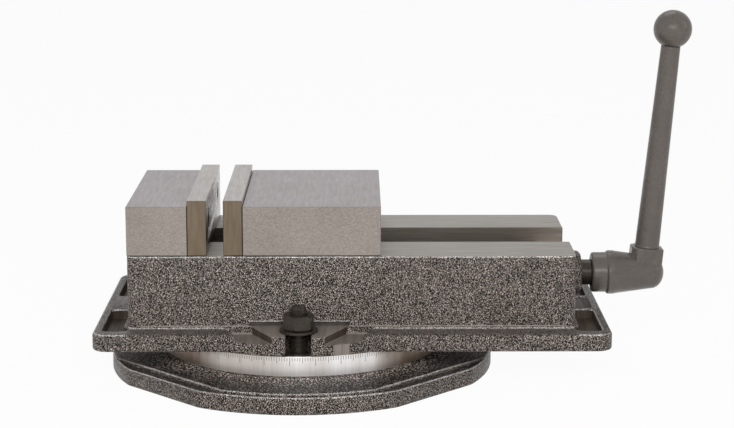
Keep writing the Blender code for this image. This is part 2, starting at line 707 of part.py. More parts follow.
def bearing_boss_shape():
    """The round boss on the right end that the screw comes out of, with a rounded rim."""
    start = BODY_RIGHT - BOSS_ROUNDING
    rim_centre = (BOSS_RADIUS - BOSS_ROUNDING, BOSS_RIGHT - BOSS_ROUNDING)
    rim = arc(rim_centre, BOSS_ROUNDING, 0.0, math.pi / 2, CORNER_STEPS)
    profile = [(0.0, start), (BOSS_RADIUS, start)] + rim + [(0.0, BOSS_RIGHT)]
    return placed(turned_shape(profile, MEDIUM_SEGMENTS), along_x(SCREW_Z))


def cut_channel(bed):
    """The channel between the rails, closed at the right by the web that holds the screw."""
    half = CHANNEL_WIDTH / 2
    above = BED_TOP + BODY_FILLET
    shape = box_shape((CHANNEL_LEFT, -half, CHANNEL_FLOOR), (WEB_LEFT, half, above))
    cut(bed, "channel", shape)
    end = BODY_RIGHT + BODY_FILLET
    shape = box_shape((WEB_LEFT - BODY_FILLET, -half, WEB_TOP), (end, half, above))
    cut(bed, "channel_end", shape)


def cut_rail_cells(bed):
    """Hollows under both rails, open at the underside and divided by cross ribs."""
    inner = CHANNEL_WIDTH / 2 + RAIL_WALL
    outer = HALF_WIDTH - RAIL_WALL
    start = BODY_LEFT + RAIL_END_WALL
    length = BODY_LENGTH - 2 * RAIL_END_WALL
    cell = (length - (RAIL_CELLS - 1) * RAIL_WALL) / RAIL_CELLS
    roof = BED_TOP - RAIL_ROOF
    for index in range(RAIL_CELLS):
        left = start + index * (cell + RAIL_WALL)
        for low_y, high_y, name in ((-outer, -inner, "near"), (inner, outer, "far")):
            low, high = (left, low_y, FLANGE_BOTTOM - RAIL_WALL), (left + cell, high_y, roof)
            cut(bed, f"rail_cell_{name}_{index + 1}", box_shape(low, high))


def cut_jaw_seat(bed):
    """The keyway and the two bolt holes that hold the fixed jaw."""
    half = JAW_KEY_WIDTH / 2 + CLEARANCE
    length = JAW_KEY_LENGTH / 2 + CLEARANCE
    centre = FIXED_JAW_LEFT + JAW_KEY_INSET
    low = (centre - half, -length, BED_TOP - JAW_KEY_HEIGHT / 2 - CLEARANCE)
    cut(bed, "keyway", box_shape(low, (centre + half, length, BED_TOP + JAW_KEY_HEIGHT)))
    bolt = cylinder_profile(JAW_BOLT_RADIUS + CLEARANCE, BED_TOP - 2 * RAIL_ROOF, BED_TOP + RAIL_ROOF)
    for side, name in ((-1, "near"), (1, "far")):
        cut(bed, f"bolt_hole_{name}", placed(turned_shape(bolt, SMALL_SEGMENTS), jaw_bolt_place(side)))


def jaw_bolt_place(side, height=0.0):
    """Where one of the fixed jaw's bolts stands."""
    return Matrix.Translation((FIXED_JAW_LEFT + JAW_BOLT_INSET, side * JAW_BOLT_SPACING / 2, height))


def make_t_bolt(side, name):
    """One clamp bolt, its flat head under the lip of the base's T-slot."""
    half = T_HEAD_WIDTH / 2
    centre = side * STUD_CIRCLE_RADIUS
    top = T_LIP_UNDERSIDE - CLEARANCE
    low, high = (-half, centre - half, top - T_HEAD_HEIGHT), (half, centre + half, top)
    bolt = add_solid(f"t_bolt_{name}", box_shape(low, high, JAW_EDGE), BLACK_STEEL)
    tip = NUT_BOTTOM + NUT_HEIGHT + STUD_RISE
    profile = cylinder_profile(STUD_RADIUS, top - T_HEAD_HEIGHT / 2, tip, BOLT_CHAMFER)
    place = Matrix.Translation((0.0, centre, 0.0))
    fuse(bolt, "stud", placed(turned_shape(profile, SMALL_SEGMENTS), place))
    return bolt


def make_washer(side, name):
    """The plain washer on one clamp stud."""
    section = ring_profile(
        STUD_RADIUS + CLEARANCE, WASHER_RADIUS, WASHER_BOTTOM, WASHER_BOTTOM + WASHER_THICKNESS
    )
    place = Matrix.Translation((0.0, side * STUD_CIRCLE_RADIUS, 0.0))
    shape = placed(turned_shape(section, MEDIUM_SEGMENTS, closed=True), place)
    return add_solid(f"clamp_washer_{name}", shape, BLACK_STEEL)


def make_lock_nut(side, name):
    """The hexagon nut that locks the swivel, with its corners turned off."""
    place = Matrix.Translation((0.0, side * STUD_CIRCLE_RADIUS, 0.0))
    outline = hexagon(NUT_ACROSS_FLATS, math.pi / 2 - NUT_TURN)
    shape = placed(prism_shape(outline, NUT_BOTTOM, NUT_BOTTOM + NUT_HEIGHT), place)
    nut = add_solid(f"lock_nut_{name}", shape, BLACK_STEEL)
    corner = NUT_ACROSS_FLATS / math.sqrt(3)
    flat = NUT_ACROSS_FLATS / 2
    drop = (corner - flat) / 2
    middle = NUT_BOTTOM + NUT_HEIGHT / 2
    reach = NUT_HEIGHT / 2
    profile = [
        (0.0, middle - reach - drop), (flat - drop, middle - reach - drop),
        (corner + drop, middle - reach + drop), (corner + drop, middle + reach - drop),
        (flat - drop, middle + reach + drop), (0.0, middle + reach + drop),
    ]
    turned_blank = placed(turned_shape(profile, MEDIUM_SEGMENTS), place)
    apply_boolean(nut, "turned_corners", turned_blank, "INTERSECT")
    bore = cylinder_profile(
        STUD_RADIUS + CLEARANCE, NUT_BOTTOM - NUT_HEIGHT, NUT_BOTTOM + 2 * NUT_HEIGHT
    )
    cut(nut, "bore", placed(turned_shape(bore, SMALL_SEGMENTS), place))
    return nut


def make_fixed_jaw():
    """The fixed jaw block, bolted and keyed down on the bed's left end."""
    low = (FIXED_JAW_LEFT, -HALF_WIDTH, JAW_BOTTOM)
    high = (FIXED_JAW_FACE, HALF_WIDTH, JAW_TOP)
    jaw = add_solid("fixed_jaw", box_shape(low, high, JAW_EDGE), GROUND_STEEL)
    half = JAW_KEY_WIDTH / 2 + CLEARANCE
    length = JAW_KEY_LENGTH / 2 + CLEARANCE
    centre = FIXED_JAW_LEFT + JAW_KEY_INSET
    low = (centre - half, -length, BED_TOP - JAW_KEY_HEIGHT)
    high = (centre + half, length, BED_TOP + JAW_KEY_HEIGHT / 2 + CLEARANCE)
    cut(jaw, "keyway", box_shape(low, high))
    bolt = cylinder_profile(
        JAW_BOLT_RADIUS + CLEARANCE, BED_TOP - RAIL_ROOF, BED_TOP + JAW_BOLT_REACH + CLEARANCE
    )
    for side, name in ((-1, "near"), (1, "far")):
        cut(jaw, f"bolt_hole_{name}", placed(turned_shape(bolt, SMALL_SEGMENTS), jaw_bolt_place(side)))
        cut_plate_screw_hole(jaw, side, name, FIXED_JAW_FACE, -1)
    return jaw


def cut_plate_screw_hole(block, side, name, face, direction):
    """The hole in a jaw block for one plate screw, from its face inwards."""
    start, end = face - direction * CLEARANCE, face + direction * (PLATE_SCREW_REACH + CLEARANCE)
    profile = cylinder_profile(PLATE_SCREW_RADIUS + CLEARANCE, min(start, end), max(start, end))
    place = along_x(BED_TOP + PLATE_SCREW_RISE, y=side * PLATE_SCREW_SPACING / 2)
    cut(block, f"plate_screw_hole_{name}", placed(turned_shape(profile, SMALL_SEGMENTS), place))


def make_fixed_jaw_key():
    """The key that takes the clamping force between the bed and the fixed jaw."""
    centre = FIXED_JAW_LEFT + JAW_KEY_INSET
    half = JAW_KEY_WIDTH / 2
    low = (centre - half, -JAW_KEY_LENGTH / 2, BED_TOP - JAW_KEY_HEIGHT / 2)
    high = (centre + half, JAW_KEY_LENGTH / 2, BED_TOP + JAW_KEY_HEIGHT / 2)
    return add_solid("fixed_jaw_key", box_shape(low, high, JAW_EDGE), BRIGHT_STEEL)


def cap_screw_shape(radius, head_radius, head_height, length):
    """A socket-head screw along Z, its head's underside at zero and the head below it."""
    profile = [
        (0.0, -head_height), (head_radius - BOLT_CHAMFER, -head_height),
        (head_radius, BOLT_CHAMFER - head_height), (head_radius, 0.0), (radius, 0.0),
        (radius, length - BOLT_CHAMFER), (radius - BOLT_CHAMFER, length), (0.0, length),
    ]
    return turned_shape(profile, SMALL_SEGMENTS)


def key_socket_shape(across_flats, head_height):
    """The hexagon socket in a cap screw's head."""
    return prism_shape(hexagon(across_flats), -2 * head_height, -head_height / 2)


def make_jaw_bolt(side, name):
    """One bolt that comes up from the rail's hollow into the fixed jaw."""
    seat = BED_TOP - RAIL_ROOF - CLEARANCE
    length = BED_TOP + JAW_BOLT_REACH - seat
    place = jaw_bolt_place(side, seat)
    shape = cap_screw_shape(JAW_BOLT_RADIUS, JAW_BOLT_HEAD_RADIUS, JAW_BOLT_HEAD_HEIGHT, length)
    bolt = add_solid(f"fixed_jaw_bolt_{name}", placed(shape, place), BLACK_STEEL)
    cut(bolt, "key_socket", placed(key_socket_shape(JAW_BOLT_KEY, JAW_BOLT_HEAD_HEIGHT), place))
    return bolt


def plate_screw_place(face, back, side):
    """A plate screw's frame: its origin on the plate's face and its Z into the jaw."""
    place = along_x(BED_TOP + PLATE_SCREW_RISE, x=face, y=side * PLATE_SCREW_SPACING / 2)
    return place if face < back else place @ Matrix.Rotation(math.pi, 4, "X")


def make_jaw_plate(name, back, face):
    """A ground jaw plate with two counterbored screw holes."""
    low = (min(back, face), -HALF_WIDTH, JAW_BOTTOM)
    high = (max(back, face), HALF_WIDTH, BED_TOP + PLATE_RISE)
    plate = add_solid(name, box_shape(low, high, JAW_EDGE), PLATE_STEEL)
    hole_radius = PLATE_SCREW_RADIUS + CLEARANCE
    sink_radius = PLATE_SCREW_HEAD_RADIUS + COUNTERBORE_MARGIN
    sink_depth = PLATE_SCREW_HEAD_HEIGHT + CLEARANCE
    profile = [
        (0.0, -sink_depth), (sink_radius, -sink_depth), (sink_radius, sink_depth),
        (hole_radius, sink_depth), (hole_radius, 2 * PLATE_THICKNESS), (0.0, 2 * PLATE_THICKNESS),
    ]
    for side, word in ((-1, "near"), (1, "far")):
        place = plate_screw_place(face, back, side)
        cut(plate, f"screw_hole_{word}", placed(turned_shape(profile, SMALL_SEGMENTS), place))
    return plate


def make_plate_screw(name, side, back, face):
    """One cap screw that holds a jaw plate, its head sunk below the plate's face."""
    length = abs(back - face) - PLATE_SCREW_HEAD_HEIGHT + PLATE_SCREW_REACH
    head = Matrix.Translation((0.0, 0.0, PLATE_SCREW_HEAD_HEIGHT))
    place = plate_screw_place(face, back, side) @ head
    shape = cap_screw_shape(
        PLATE_SCREW_RADIUS, PLATE_SCREW_HEAD_RADIUS, PLATE_SCREW_HEAD_HEIGHT, length
    )
    screw = add_solid(name, placed(shape, place), BLACK_STEEL)
    socket = key_socket_shape(PLATE_SCREW_KEY, PLATE_SCREW_HEAD_HEIGHT)
    cut(screw, "key_socket", placed(socket, place))
    return screw


def nose_front(height):
    """The X of the jaw nut's sloping face at one height."""
    foot = MOVABLE_JAW_LEFT + NUT_FRONT + NOSE_INSET
    return foot - (height - NOSE_BOTTOM) * math.tan(NOSE_SLOPE)


def half_ball_centre():
    """The centre of the half ball's flat, just off the nut's sloping face."""
    height = NOSE_BOTTOM + HALF_BALL_RISE
    off = Vector((-math.cos(NOSE_SLOPE), 0.0, -math.sin(NOSE_SLOPE))) * CLEARANCE
    return Vector((nose_front(height), 0.0, height)) + off


def make_movable_jaw():
    """The movable jaw block, with a tongue in the channel and the cavity for its nut."""
    low = (MOVABLE_JAW_LEFT, -HALF_WIDTH, JAW_BOTTOM)
    high = (MOVABLE_JAW_RIGHT, HALF_WIDTH, JAW_TOP)
    jaw = add_solid("movable_jaw", box_shape(low, high, JAW_EDGE), GROUND_STEEL)
    half = CHANNEL_WIDTH / 2 - CLEARANCE
    low = (MOVABLE_JAW_LEFT + JAW_EDGE, -half, TONGUE_BOTTOM)
    high = (MOVABLE_JAW_RIGHT - JAW_EDGE, half, JAW_BOTTOM + TONGUE_DEPTH)
    fuse(jaw, "tongue", box_shape(low, high))
    left = nose_front(NOSE_TOP) - CAVITY_MARGIN
    right = JAW_NUT_RIGHT - NOSE_INSET + CAVITY_MARGIN
    width = NOSE_WIDTH / 2 + CAVITY_MARGIN / 2
    low = (left, -width, TONGUE_BOTTOM - CAVITY_MARGIN)
    high = (right, width, NOSE_TOP + CAVITY_MARGIN)
    cut(jaw, "cavity", box_shape(low, high))
    ball = bmesh.new()
    bmesh.ops.create_icosphere(
        ball, subdivisions=3, radius=HALF_BALL_RADIUS + CLEARANCE,
        matrix=Matrix.Translation(half_ball_centre()),
    )
    cut(jaw, "ball_socket", ball)
    start, end = right - CAVITY_MARGIN, MOVABLE_JAW_RIGHT + CAVITY_MARGIN
    hole = cylinder_profile(SET_SCREW_RADIUS + CLEARANCE, start, end)
    cut(jaw, "set_screw_hole", placed(turned_shape(hole, SMALL_SEGMENTS), along_x(SET_SCREW_Z)))
    for side, name in ((-1, "near"), (1, "far")):
        cut_plate_screw_hole(jaw, side, name, MOVABLE_JAW_LEFT, 1)
    return jaw


def make_jaw_nut():
    """The nut on the screw, whose sloping nose pulls the jaw down as it pushes it."""
    half = CHANNEL_WIDTH / 2 - CLEARANCE
    low = (JAW_NUT_LEFT, -half, SCREW_Z - NUT_DROP)
    high = (JAW_NUT_RIGHT, half, NOSE_BOTTOM)
    nut = add_solid("jaw_nut", box_shape(low, high, JAW_EDGE), BRIGHT_STEEL)
    sunk = NOSE_BOTTOM - NUT_TONGUE_GAP
    back = JAW_NUT_RIGHT - NOSE_INSET
    outline = [
        (nose_front(sunk), sunk), (back, sunk), (back, NOSE_TOP), (nose_front(NOSE_TOP), NOSE_TOP),
    ]
    loops = [[(x, y, z) for x, z in outline] for y in (-NOSE_WIDTH / 2, NOSE_WIDTH / 2)]
    fuse(nut, "nose", lofted_shape(loops))
    start, end = JAW_NUT_LEFT - NUT_LENGTH, JAW_NUT_RIGHT + NUT_LENGTH
    bore = cylinder_profile(SCREW_RADIUS + CLEARANCE, start, end)
    cut(nut, "screw_bore", placed(turned_shape(bore, BORE_SEGMENTS), along_x(SCREW_Z)))
    return nut


def make_half_ball():
    """The half ball between the nut's slope and its socket in the jaw."""
    quarter = arc((0.0, 0.0), HALF_BALL_RADIUS, 0.0, math.pi / 2, CORNER_STEPS)
    profile = [(0.0, 0.0)] + quarter[:-1] + [(0.0, HALF_BALL_RADIUS)]
    turn = Matrix.Rotation(-math.pi / 2 - NOSE_SLOPE, 4, "Y")
    place = Matrix.Translation(half_ball_centre()) @ turn
    return add_solid("half_ball", placed(turned_shape(profile, SMALL_SEGMENTS), place), BRIGHT_STEEL)


def make_set_screw():
    """The set screw in the jaw's back that takes up the play behind the nut."""
    start = JAW_NUT_RIGHT - NOSE_INSET + CLEARANCE
    end = start + SET_SCREW_LENGTH
    profile = cylinder_profile(SET_SCREW_RADIUS, start, end, BOLT_CHAMFER)
    shape = placed(turned_shape(profile, SMALL_SEGMENTS), along_x(SET_SCREW_Z))
    screw = add_solid("jaw_set_screw", shape, BLACK_STEEL)
    socket = prism_shape(hexagon(SET_SCREW_KEY), end - SET_SCREW_RADIUS, end + SET_SCREW_RADIUS)
    cut(screw, "key_socket", placed(socket, along_x(SET_SCREW_Z)))
    return screw


def make_lead_screw():
    """The screw: thread, thrust shoulder, journal, ring groove and the hexagon for the crank."""
    groove = JOURNAL_RADIUS - RING_GROOVE_DEPTH
    profile = [
        (0.0, SCREW_LEFT), (SCREW_RADIUS - SCREW_CHAMFER, SCREW_LEFT),
        (SCREW_RADIUS, SCREW_LEFT + SCREW_CHAMFER),
        (SCREW_RADIUS, SHOULDER_LEFT), (SHOULDER_RADIUS, SHOULDER_LEFT),
        (SHOULDER_RADIUS, SHOULDER_RIGHT), (JOURNAL_RADIUS, SHOULDER_RIGHT),
        (JOURNAL_RADIUS, RING_LEFT - CLEARANCE), (groove, RING_LEFT - CLEARANCE),
        (groove, RING_RIGHT + CLEARANCE), (JOURNAL_RADIUS, RING_RIGHT + CLEARANCE),
        (JOURNAL_RADIUS, HEX_LEFT), (0.0, HEX_LEFT),
    ]
    shape = placed(turned_shape(profile, BORE_SEGMENTS), along_x(SCREW_Z))
    screw = add_solid("lead_screw", shape, BLACK_STEEL)
    outline, small = hexagon(HEX_ACROSS_FLATS), hexagon(HEX_ACROSS_FLATS - 2 * HEX_CHAMFER)
    root = HEX_LEFT - SHAFT_REVEAL / 2
    levels = ((outline, root), (outline, HEX_RIGHT - HEX_CHAMFER), (small, HEX_RIGHT))
    hex_end = lofted_shape([[(x, y, station) for x, y in loop] for loop, station in levels])
    fuse(screw, "hexagon", placed(hex_end, along_x(SCREW_Z)))
    return screw


def ring_along_x(inner, outer, left, right, segments=BORE_SEGMENTS):
    """A plain ring round the screw."""
    section = ring_profile(inner, outer, left, right)
    return placed(turned_shape(section, segments, closed=True), along_x(SCREW_Z))


def make_screw_bush():
    """The bronze bush in the web that the screw's journal turns in."""
    shape = ring_along_x(BORE_RADIUS, BUSH_RADIUS, WEB_LEFT, BODY_RIGHT - CLEARANCE)
    return add_solid("screw_bush", shape, BRONZE)


def make_bearing_washer(name, left):
    """One hardened washer of the thrust bearing."""
    shape = ring_along_x(BORE_RADIUS, SHOULDER_RADIUS, left, left + BEARING_WASHER)
    return add_solid(name, shape, BRIGHT_STEEL)


def bearing_ball_places():
    """The centres of the bearing's balls."""
    turns = [FIRST_BALL_TURN + 2 * math.pi * index / BALL_COUNT for index in range(BALL_COUNT)]
    return [
        Vector((
            BALL_CENTRE_X,
            BALL_CIRCLE_RADIUS * math.sin(turn),
            SCREW_Z + BALL_CIRCLE_RADIUS * math.cos(turn),
        ))
        for turn in turns
    ]


def make_ball_cage():
    """The bronze cage that spaces the bearing's balls."""
    left = BALL_CENTRE_X - CAGE_THICKNESS / 2
    right = left + CAGE_THICKNESS
    shape = ring_along_x(BORE_RADIUS, SHOULDER_RADIUS, left, right, MEDIUM_SEGMENTS)
    cage = add_solid("bearing_cage", shape, BRONZE)
    pocket = cylinder_profile(BALL_RADIUS + CAGE_BALL_MARGIN, -CAGE_THICKNESS, CAGE_THICKNESS)
    for index, centre in enumerate(bearing_ball_places()):
        place = Matrix.Translation(centre) @ Matrix.Rotation(math.pi / 2, 4, "Y")
        cut(cage, f"pocket_{index + 1}", placed(turned_shape(pocket, TINY_SEGMENTS), place))
    return cage


def make_bearing_balls():
    """The balls of the thrust bearing."""
    balls = []
    for index, centre in enumerate(bearing_ball_places()):
        shape = bmesh.new()
        bmesh.ops.create_uvsphere(
            shape, u_segments=TINY_SEGMENTS, v_segments=CORNER_STEPS, radius=BALL_RADIUS,
            matrix=Matrix.Translation(centre),
        )
        balls.append(add_solid(f"bearing_ball_{index + 1}", shape, BRIGHT_STEEL))
    return balls


def make_retaining_ring():
    """The ring in the screw's groove that keeps the screw from sliding back into the bed."""
    shape = ring_along_x(RING_BORE_RADIUS, RING_OUTER_RADIUS, RING_LEFT, RING_RIGHT)
    return add_solid("retaining_ring", shape, BRIGHT_STEEL)


def rod_place():
    """The handle rod's frame: its origin on the screw's axis and its Z along the leaning rod."""
    foot = Matrix.Translation((HUB_LEFT + ROD_OFFSET, 0.0, SCREW_Z))
    return foot @ Matrix.Rotation(ROD_TILT, 4, "Y")


def make_handle_hub():
    """The crank's hub: a tapered barrel with a hexagon socket and a boss for the rod."""
    mouth = HUB_MOUTH_CHAMFER
    ridge_start, ridge_end = HUB_LEFT + HUB_RIDGE_START, HUB_LEFT + HUB_RIDGE_END
    nose_start = HUB_RIGHT - HUB_NOSE_LENGTH
    nose = [
        (HUB_NOSE_RADIUS * math.cos(angle), nose_start + HUB_NOSE_LENGTH * math.sin(angle))
        for angle in [math.pi / 2 * step / CORNER_STEPS for step in range(CORNER_STEPS)]
    ]
    profile = [
        (0.0, HUB_LEFT), (HUB_MOUTH_RADIUS - mouth, HUB_LEFT), (HUB_MOUTH_RADIUS, HUB_LEFT + mouth),
        (HUB_MOUTH_RADIUS, ridge_start - mouth), (HUB_RIDGE_RADIUS, ridge_start),
        (HUB_RIDGE_RADIUS, ridge_end),
    ]
    profile += nose + [(0.0, HUB_RIGHT)]
    shape = placed(turned_shape(profile, MEDIUM_SEGMENTS), along_x(SCREW_Z))
    hub = add_solid("handle_hub", shape, HANDLE_PAINT)
    fuse(hub, "rod_boss", placed(rod_boss_shape(), rod_place()))
    socket = prism_shape(
        hexagon(HEX_ACROSS_FLATS + 2 * CLEARANCE), HUB_LEFT - HEX_LENGTH, HEX_RIGHT + CLEARANCE
    )
    cut(hub, "hexagon_socket", placed(socket, along_x(SCREW_Z)))
    stub_bottom = ROD_BOSS_RISE - ROD_STUB_LENGTH
    bore = cylinder_profile(ROD_STUB_RADIUS + CLEARANCE, stub_bottom - CLEARANCE, ROD_LENGTH)
    cut(hub, "rod_bore", placed(turned_shape(bore, SMALL_SEGMENTS), rod_place()))
    return hub


def rod_boss_shape():
    """The eight-sided boss that the rod stands on."""
    def octagon(half):
        short = half - ROD_BOSS_CORNER
        quarter = [(half, -short), (half, short), (short, half), (-short, half)]
        return quarter + mirrored(quarter)

    full = octagon(ROD_BOSS_HALF_WIDTH)
    inset = octagon(ROD_BOSS_HALF_WIDTH - ROD_BOSS_EDGE)
    levels = ((full, 0.0), (full, ROD_BOSS_RISE - ROD_BOSS_EDGE), (inset, ROD_BOSS_RISE))
    return lofted_shape([[(x, y, height) for x, y in loop] for loop, height in levels])


def make_handle_rod():
    """The tapered rod, with a stub at each end for the hub and the ball."""
    foot = ROD_BOSS_RISE + CLEARANCE
    top = foot + ROD_LENGTH
    profile = [
        (0.0, foot - ROD_STUB_LENGTH), (ROD_STUB_RADIUS, foot - ROD_STUB_LENGTH),
        (ROD_STUB_RADIUS, foot), (ROD_FOOT_RADIUS, foot), (ROD_TOP_RADIUS, top),
        (TOP_STUB_RADIUS, top), (TOP_STUB_RADIUS, top + TOP_STUB_LENGTH), (0.0, top + TOP_STUB_LENGTH),
    ]
    shape = placed(turned_shape(profile, BORE_SEGMENTS), rod_place())
    return add_solid("handle_rod", shape, HANDLE_PAINT)


def make_handle_ball():
    """The ball knob, flattened where it sits on the rod."""
    seat_height = ROD_BOSS_RISE + ROD_LENGTH + 2 * CLEARANCE
    drop = math.sqrt(BALL_KNOB_RADIUS**2 - ROD_TOP_RADIUS**2)
    centre = seat_height + drop
    first = math.asin(-drop / BALL_KNOB_RADIUS)
    round_side = arc((0.0, centre), BALL_KNOB_RADIUS, first, math.pi / 2, SLOT_STEPS)
    profile = [(0.0, seat_height)] + round_side[:-1] + [(0.0, centre + BALL_KNOB_RADIUS)]
    shape = placed(turned_shape(profile, BORE_SEGMENTS), rod_place())
    ball = add_solid("handle_ball", shape, HANDLE_PAINT)
    bore = cylinder_profile(
        TOP_STUB_RADIUS + CLEARANCE, seat_height - TOP_STUB_LENGTH, seat_height + TOP_STUB_LENGTH
    )
    cut(ball, "stub_bore", placed(turned_shape(bore, SMALL_SEGMENTS), rod_place()))
    return ball


def make_carrier(name, place, parent=None):
    """An empty on a joint's axis that carries the pieces of one moving body."""
    carrier = bpy.data.objects.new(name, None)
    bpy.context.scene.collection.objects.link(carrier)
    carrier.location = Vector(place)
    if parent is not None:
        carrier.parent = parent
        carrier.location = Vector(place) - world_place(parent)
    return carrier


def world_place(item):
    """Where an unturned object stands, its parents' places included."""
    place = item.location.copy()
    while item.parent is not None:
        item = item.parent
        place += item.location
    return place


def carry(carrier, pieces):
    """Hang pieces drawn in the vise's frame on a carrier, without moving them."""
    for piece in pieces:
        piece.data.transform(Matrix.Translation(-world_place(carrier)))
        piece.parent = carrier


def make_bed_pieces():
    """Everything that turns with the bed on the swivel base."""
    pieces = [make_bed_casting(), make_fixed_jaw(), make_fixed_jaw_key(), make_screw_bush()]
    pieces.append(make_jaw_plate("fixed_jaw_plate", FIXED_PLATE_BACK, FIXED_PLATE_FACE))
    pieces.append(make_bearing_washer("bearing_washer_outer", OUTER_WASHER_LEFT))
    for side, name in ((-1, "near"), (1, "far")):
        pieces.append(make_t_bolt(side, name))
        pieces.append(make_washer(side, name))
        pieces.append(make_jaw_bolt(side, name))
        pieces.append(
            make_plate_screw(f"fixed_plate_screw_{name}", side, FIXED_PLATE_BACK, FIXED_PLATE_FACE)
        )
    return pieces


def make_movable_jaw_pieces():
    """Everything that slides with the movable jaw."""
    pieces = [make_movable_jaw(), make_jaw_nut(), make_half_ball(), make_set_screw()]
    pieces.append(make_jaw_plate("movable_jaw_plate", MOVABLE_PLATE_BACK, MOVABLE_PLATE_FACE))
    for side, name in ((-1, "near"), (1, "far")):
        pieces.append(
            make_plate_screw(f"movable_plate_screw_{name}", side, MOVABLE_PLATE_BACK, MOVABLE_PLATE_FACE)
        )
    return pieces


def main():
    """Build the vise."""
    clear_scene()
    base = make_carrier("swivel_base", (0.0, 0.0, 0.0))
    carry(base, [make_base_casting(), make_swivel_pin()])
    bed = make_carrier("bed", (0.0, 0.0, RING_TOP), base)
    carry(bed, make_bed_pieces())
    for side, name in ((-1, "near"), (1, "far")):
        nut = make_carrier(f"{name}_nut", (0.0, side * STUD_CIRCLE_RADIUS, NUT_BOTTOM), bed)
        carry(nut, [make_lock_nut(side, name)])
    jaw = make_carrier("movable_jaw_slide", (MOVABLE_JAW_LEFT, 0.0, SCREW_Z), bed)
    carry(jaw, make_movable_jaw_pieces())
    screw = make_carrier("screw", (SHOULDER_RIGHT, 0.0, SCREW_Z), bed)
    inner_washer = make_bearing_washer("bearing_washer_inner", INNER_WASHER_LEFT)
    carry(screw, [make_lead_screw(), inner_washer, make_retaining_ring()])
    cage = make_carrier("ball_cage", (BALL_CENTRE_X, 0.0, SCREW_Z), bed)
    carry(cage, [make_ball_cage()] + make_bearing_balls())
    handle = make_carrier("handle", (HUB_LEFT, 0.0, SCREW_Z), screw)
    carry(handle, [make_handle_hub(), make_handle_rod(), make_handle_ball()])


main()
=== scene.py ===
# %% [markdown]
# # A machine vise on its swivel base
# The solid model of the vise is loaded first and stays fixed. It gives every place and size. This
# lesson then dresses it: the two castings, the clamps, the screw and the crank are modelled again
# with round edges, threads and a scale, and each piece gets a finish made of nodes.

# %% Load the fixed model
from math import atan2, copysign, cos, hypot, pi, radians, sin, sqrt

import bmesh
import bpy
from mathutils import Matrix, Vector


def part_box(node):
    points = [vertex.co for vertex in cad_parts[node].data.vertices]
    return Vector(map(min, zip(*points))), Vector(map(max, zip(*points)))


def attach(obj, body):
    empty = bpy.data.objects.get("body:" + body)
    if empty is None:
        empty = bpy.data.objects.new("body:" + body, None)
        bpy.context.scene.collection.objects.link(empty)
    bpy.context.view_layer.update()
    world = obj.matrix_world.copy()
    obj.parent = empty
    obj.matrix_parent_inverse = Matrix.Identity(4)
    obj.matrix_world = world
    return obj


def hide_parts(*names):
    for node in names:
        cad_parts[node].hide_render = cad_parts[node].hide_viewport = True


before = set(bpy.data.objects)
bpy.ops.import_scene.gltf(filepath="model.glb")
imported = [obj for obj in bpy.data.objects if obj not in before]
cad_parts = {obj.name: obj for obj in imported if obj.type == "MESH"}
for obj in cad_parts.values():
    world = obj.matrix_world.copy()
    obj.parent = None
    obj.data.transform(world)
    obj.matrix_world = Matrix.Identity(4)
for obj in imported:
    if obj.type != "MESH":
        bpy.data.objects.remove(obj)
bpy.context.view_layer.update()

# %% [markdown]
# ## The camera
# The view was found by fitting one camera to the straight edges of the real vise: about 1.5 m away,
# with a long lens, looking down by less than 12 degrees. Such a lens keeps parallel edges nearly
# parallel in the picture.

# %% Set the camera
def placed(name, data):
    """A new object in the scene."""
    item = bpy.data.objects.new(name, data)
    bpy.context.scene.collection.objects.link(item)
    return item


SENSOR_WIDTH = 36.0
FOCAL_LENGTH, PICTURE_WIDTH = 1940, 734
TILT, PAN = 11.611, -0.323
camera_data = bpy.data.cameras.new("camera")
camera = placed("camera", camera_data)
camera.location = (0.0425, -1.4763, 0.4200)
camera.rotation_euler = (radians(90 - TILT), 0.0, radians(PAN))
camera_data.sensor_width = SENSOR_WIDTH
camera_data.lens = FOCAL_LENGTH / PICTURE_WIDTH * SENSOR_WIDTH
camera_data.clip_start = 0.01
bpy.context.scene.camera = camera
print("lens in mm:", round(camera_data.lens, 1))

# %% [markdown]
# ## Studio
# The floor is one wide pale plane, and the world behind it is white wherever it is seen. To the
# camera the floor is nearly white by itself, so the lamps need not burn it out, and the part of it
# that is still lit keeps the vise's shadow. Metal shows what is round it, so glossy rays get the
# same white. A large soft lamp above the front gives the light. It stays out of mirrors, or the
# ground tops would burn out when seen from behind, and a weak lamp beside it gives them a sheen.

# %% A helper for nodes
def joined(tree, kind, inputs, output=0, **settings):
    """A new node's output. Its inputs are values, or outputs of other nodes to join."""
    node = tree.nodes.new("ShaderNode" + kind)
    for name, value in settings.items():
        setattr(node, name, value)
    for name, value in inputs.items():
        if isinstance(value, bpy.types.NodeSocket):
            tree.links.new(value, node.inputs[name])
        else:
            node.inputs[name].default_value = value
    return node.outputs[output]


def seen_or_mirrored(tree):
    """1 for camera, glossy and transmission rays, 0 for the rays that carry light on."""
    path = tree.nodes.new("ShaderNodeLightPath")
    value = path.outputs["Is Camera Ray"]
    for ray in ("Is Glossy Ray", "Is Transmission Ray"):
        value = joined(tree, "Math", {0: value, 1: path.outputs[ray]}, operation="MAXIMUM")
    return value


# %% Floor
FLOOR_REACH = 6.0
FLOOR_WHITE = 0.95


def pale_finish():
    """White by itself where it is seen, with some real light on it for the shadow."""
    material = bpy.data.materials.new("pale_floor")
    material.use_nodes = True
    tree = material.node_tree
    tree.nodes.clear()
    share = joined(tree, "Math", {0: seen_or_mirrored(tree), 1: FLOOR_WHITE}, operation="MULTIPLY")
    lit = joined(tree, "BsdfDiffuse", {"Color": (0.9, 0.9, 0.9, 1.0)})
    white = joined(tree, "Emission", {})
    mix = joined(tree, "MixShader", {0: share, 1: lit, 2: white})
    tree.links.new(mix, tree.nodes.new("ShaderNodeOutputMaterial").inputs["Surface"])
    return material


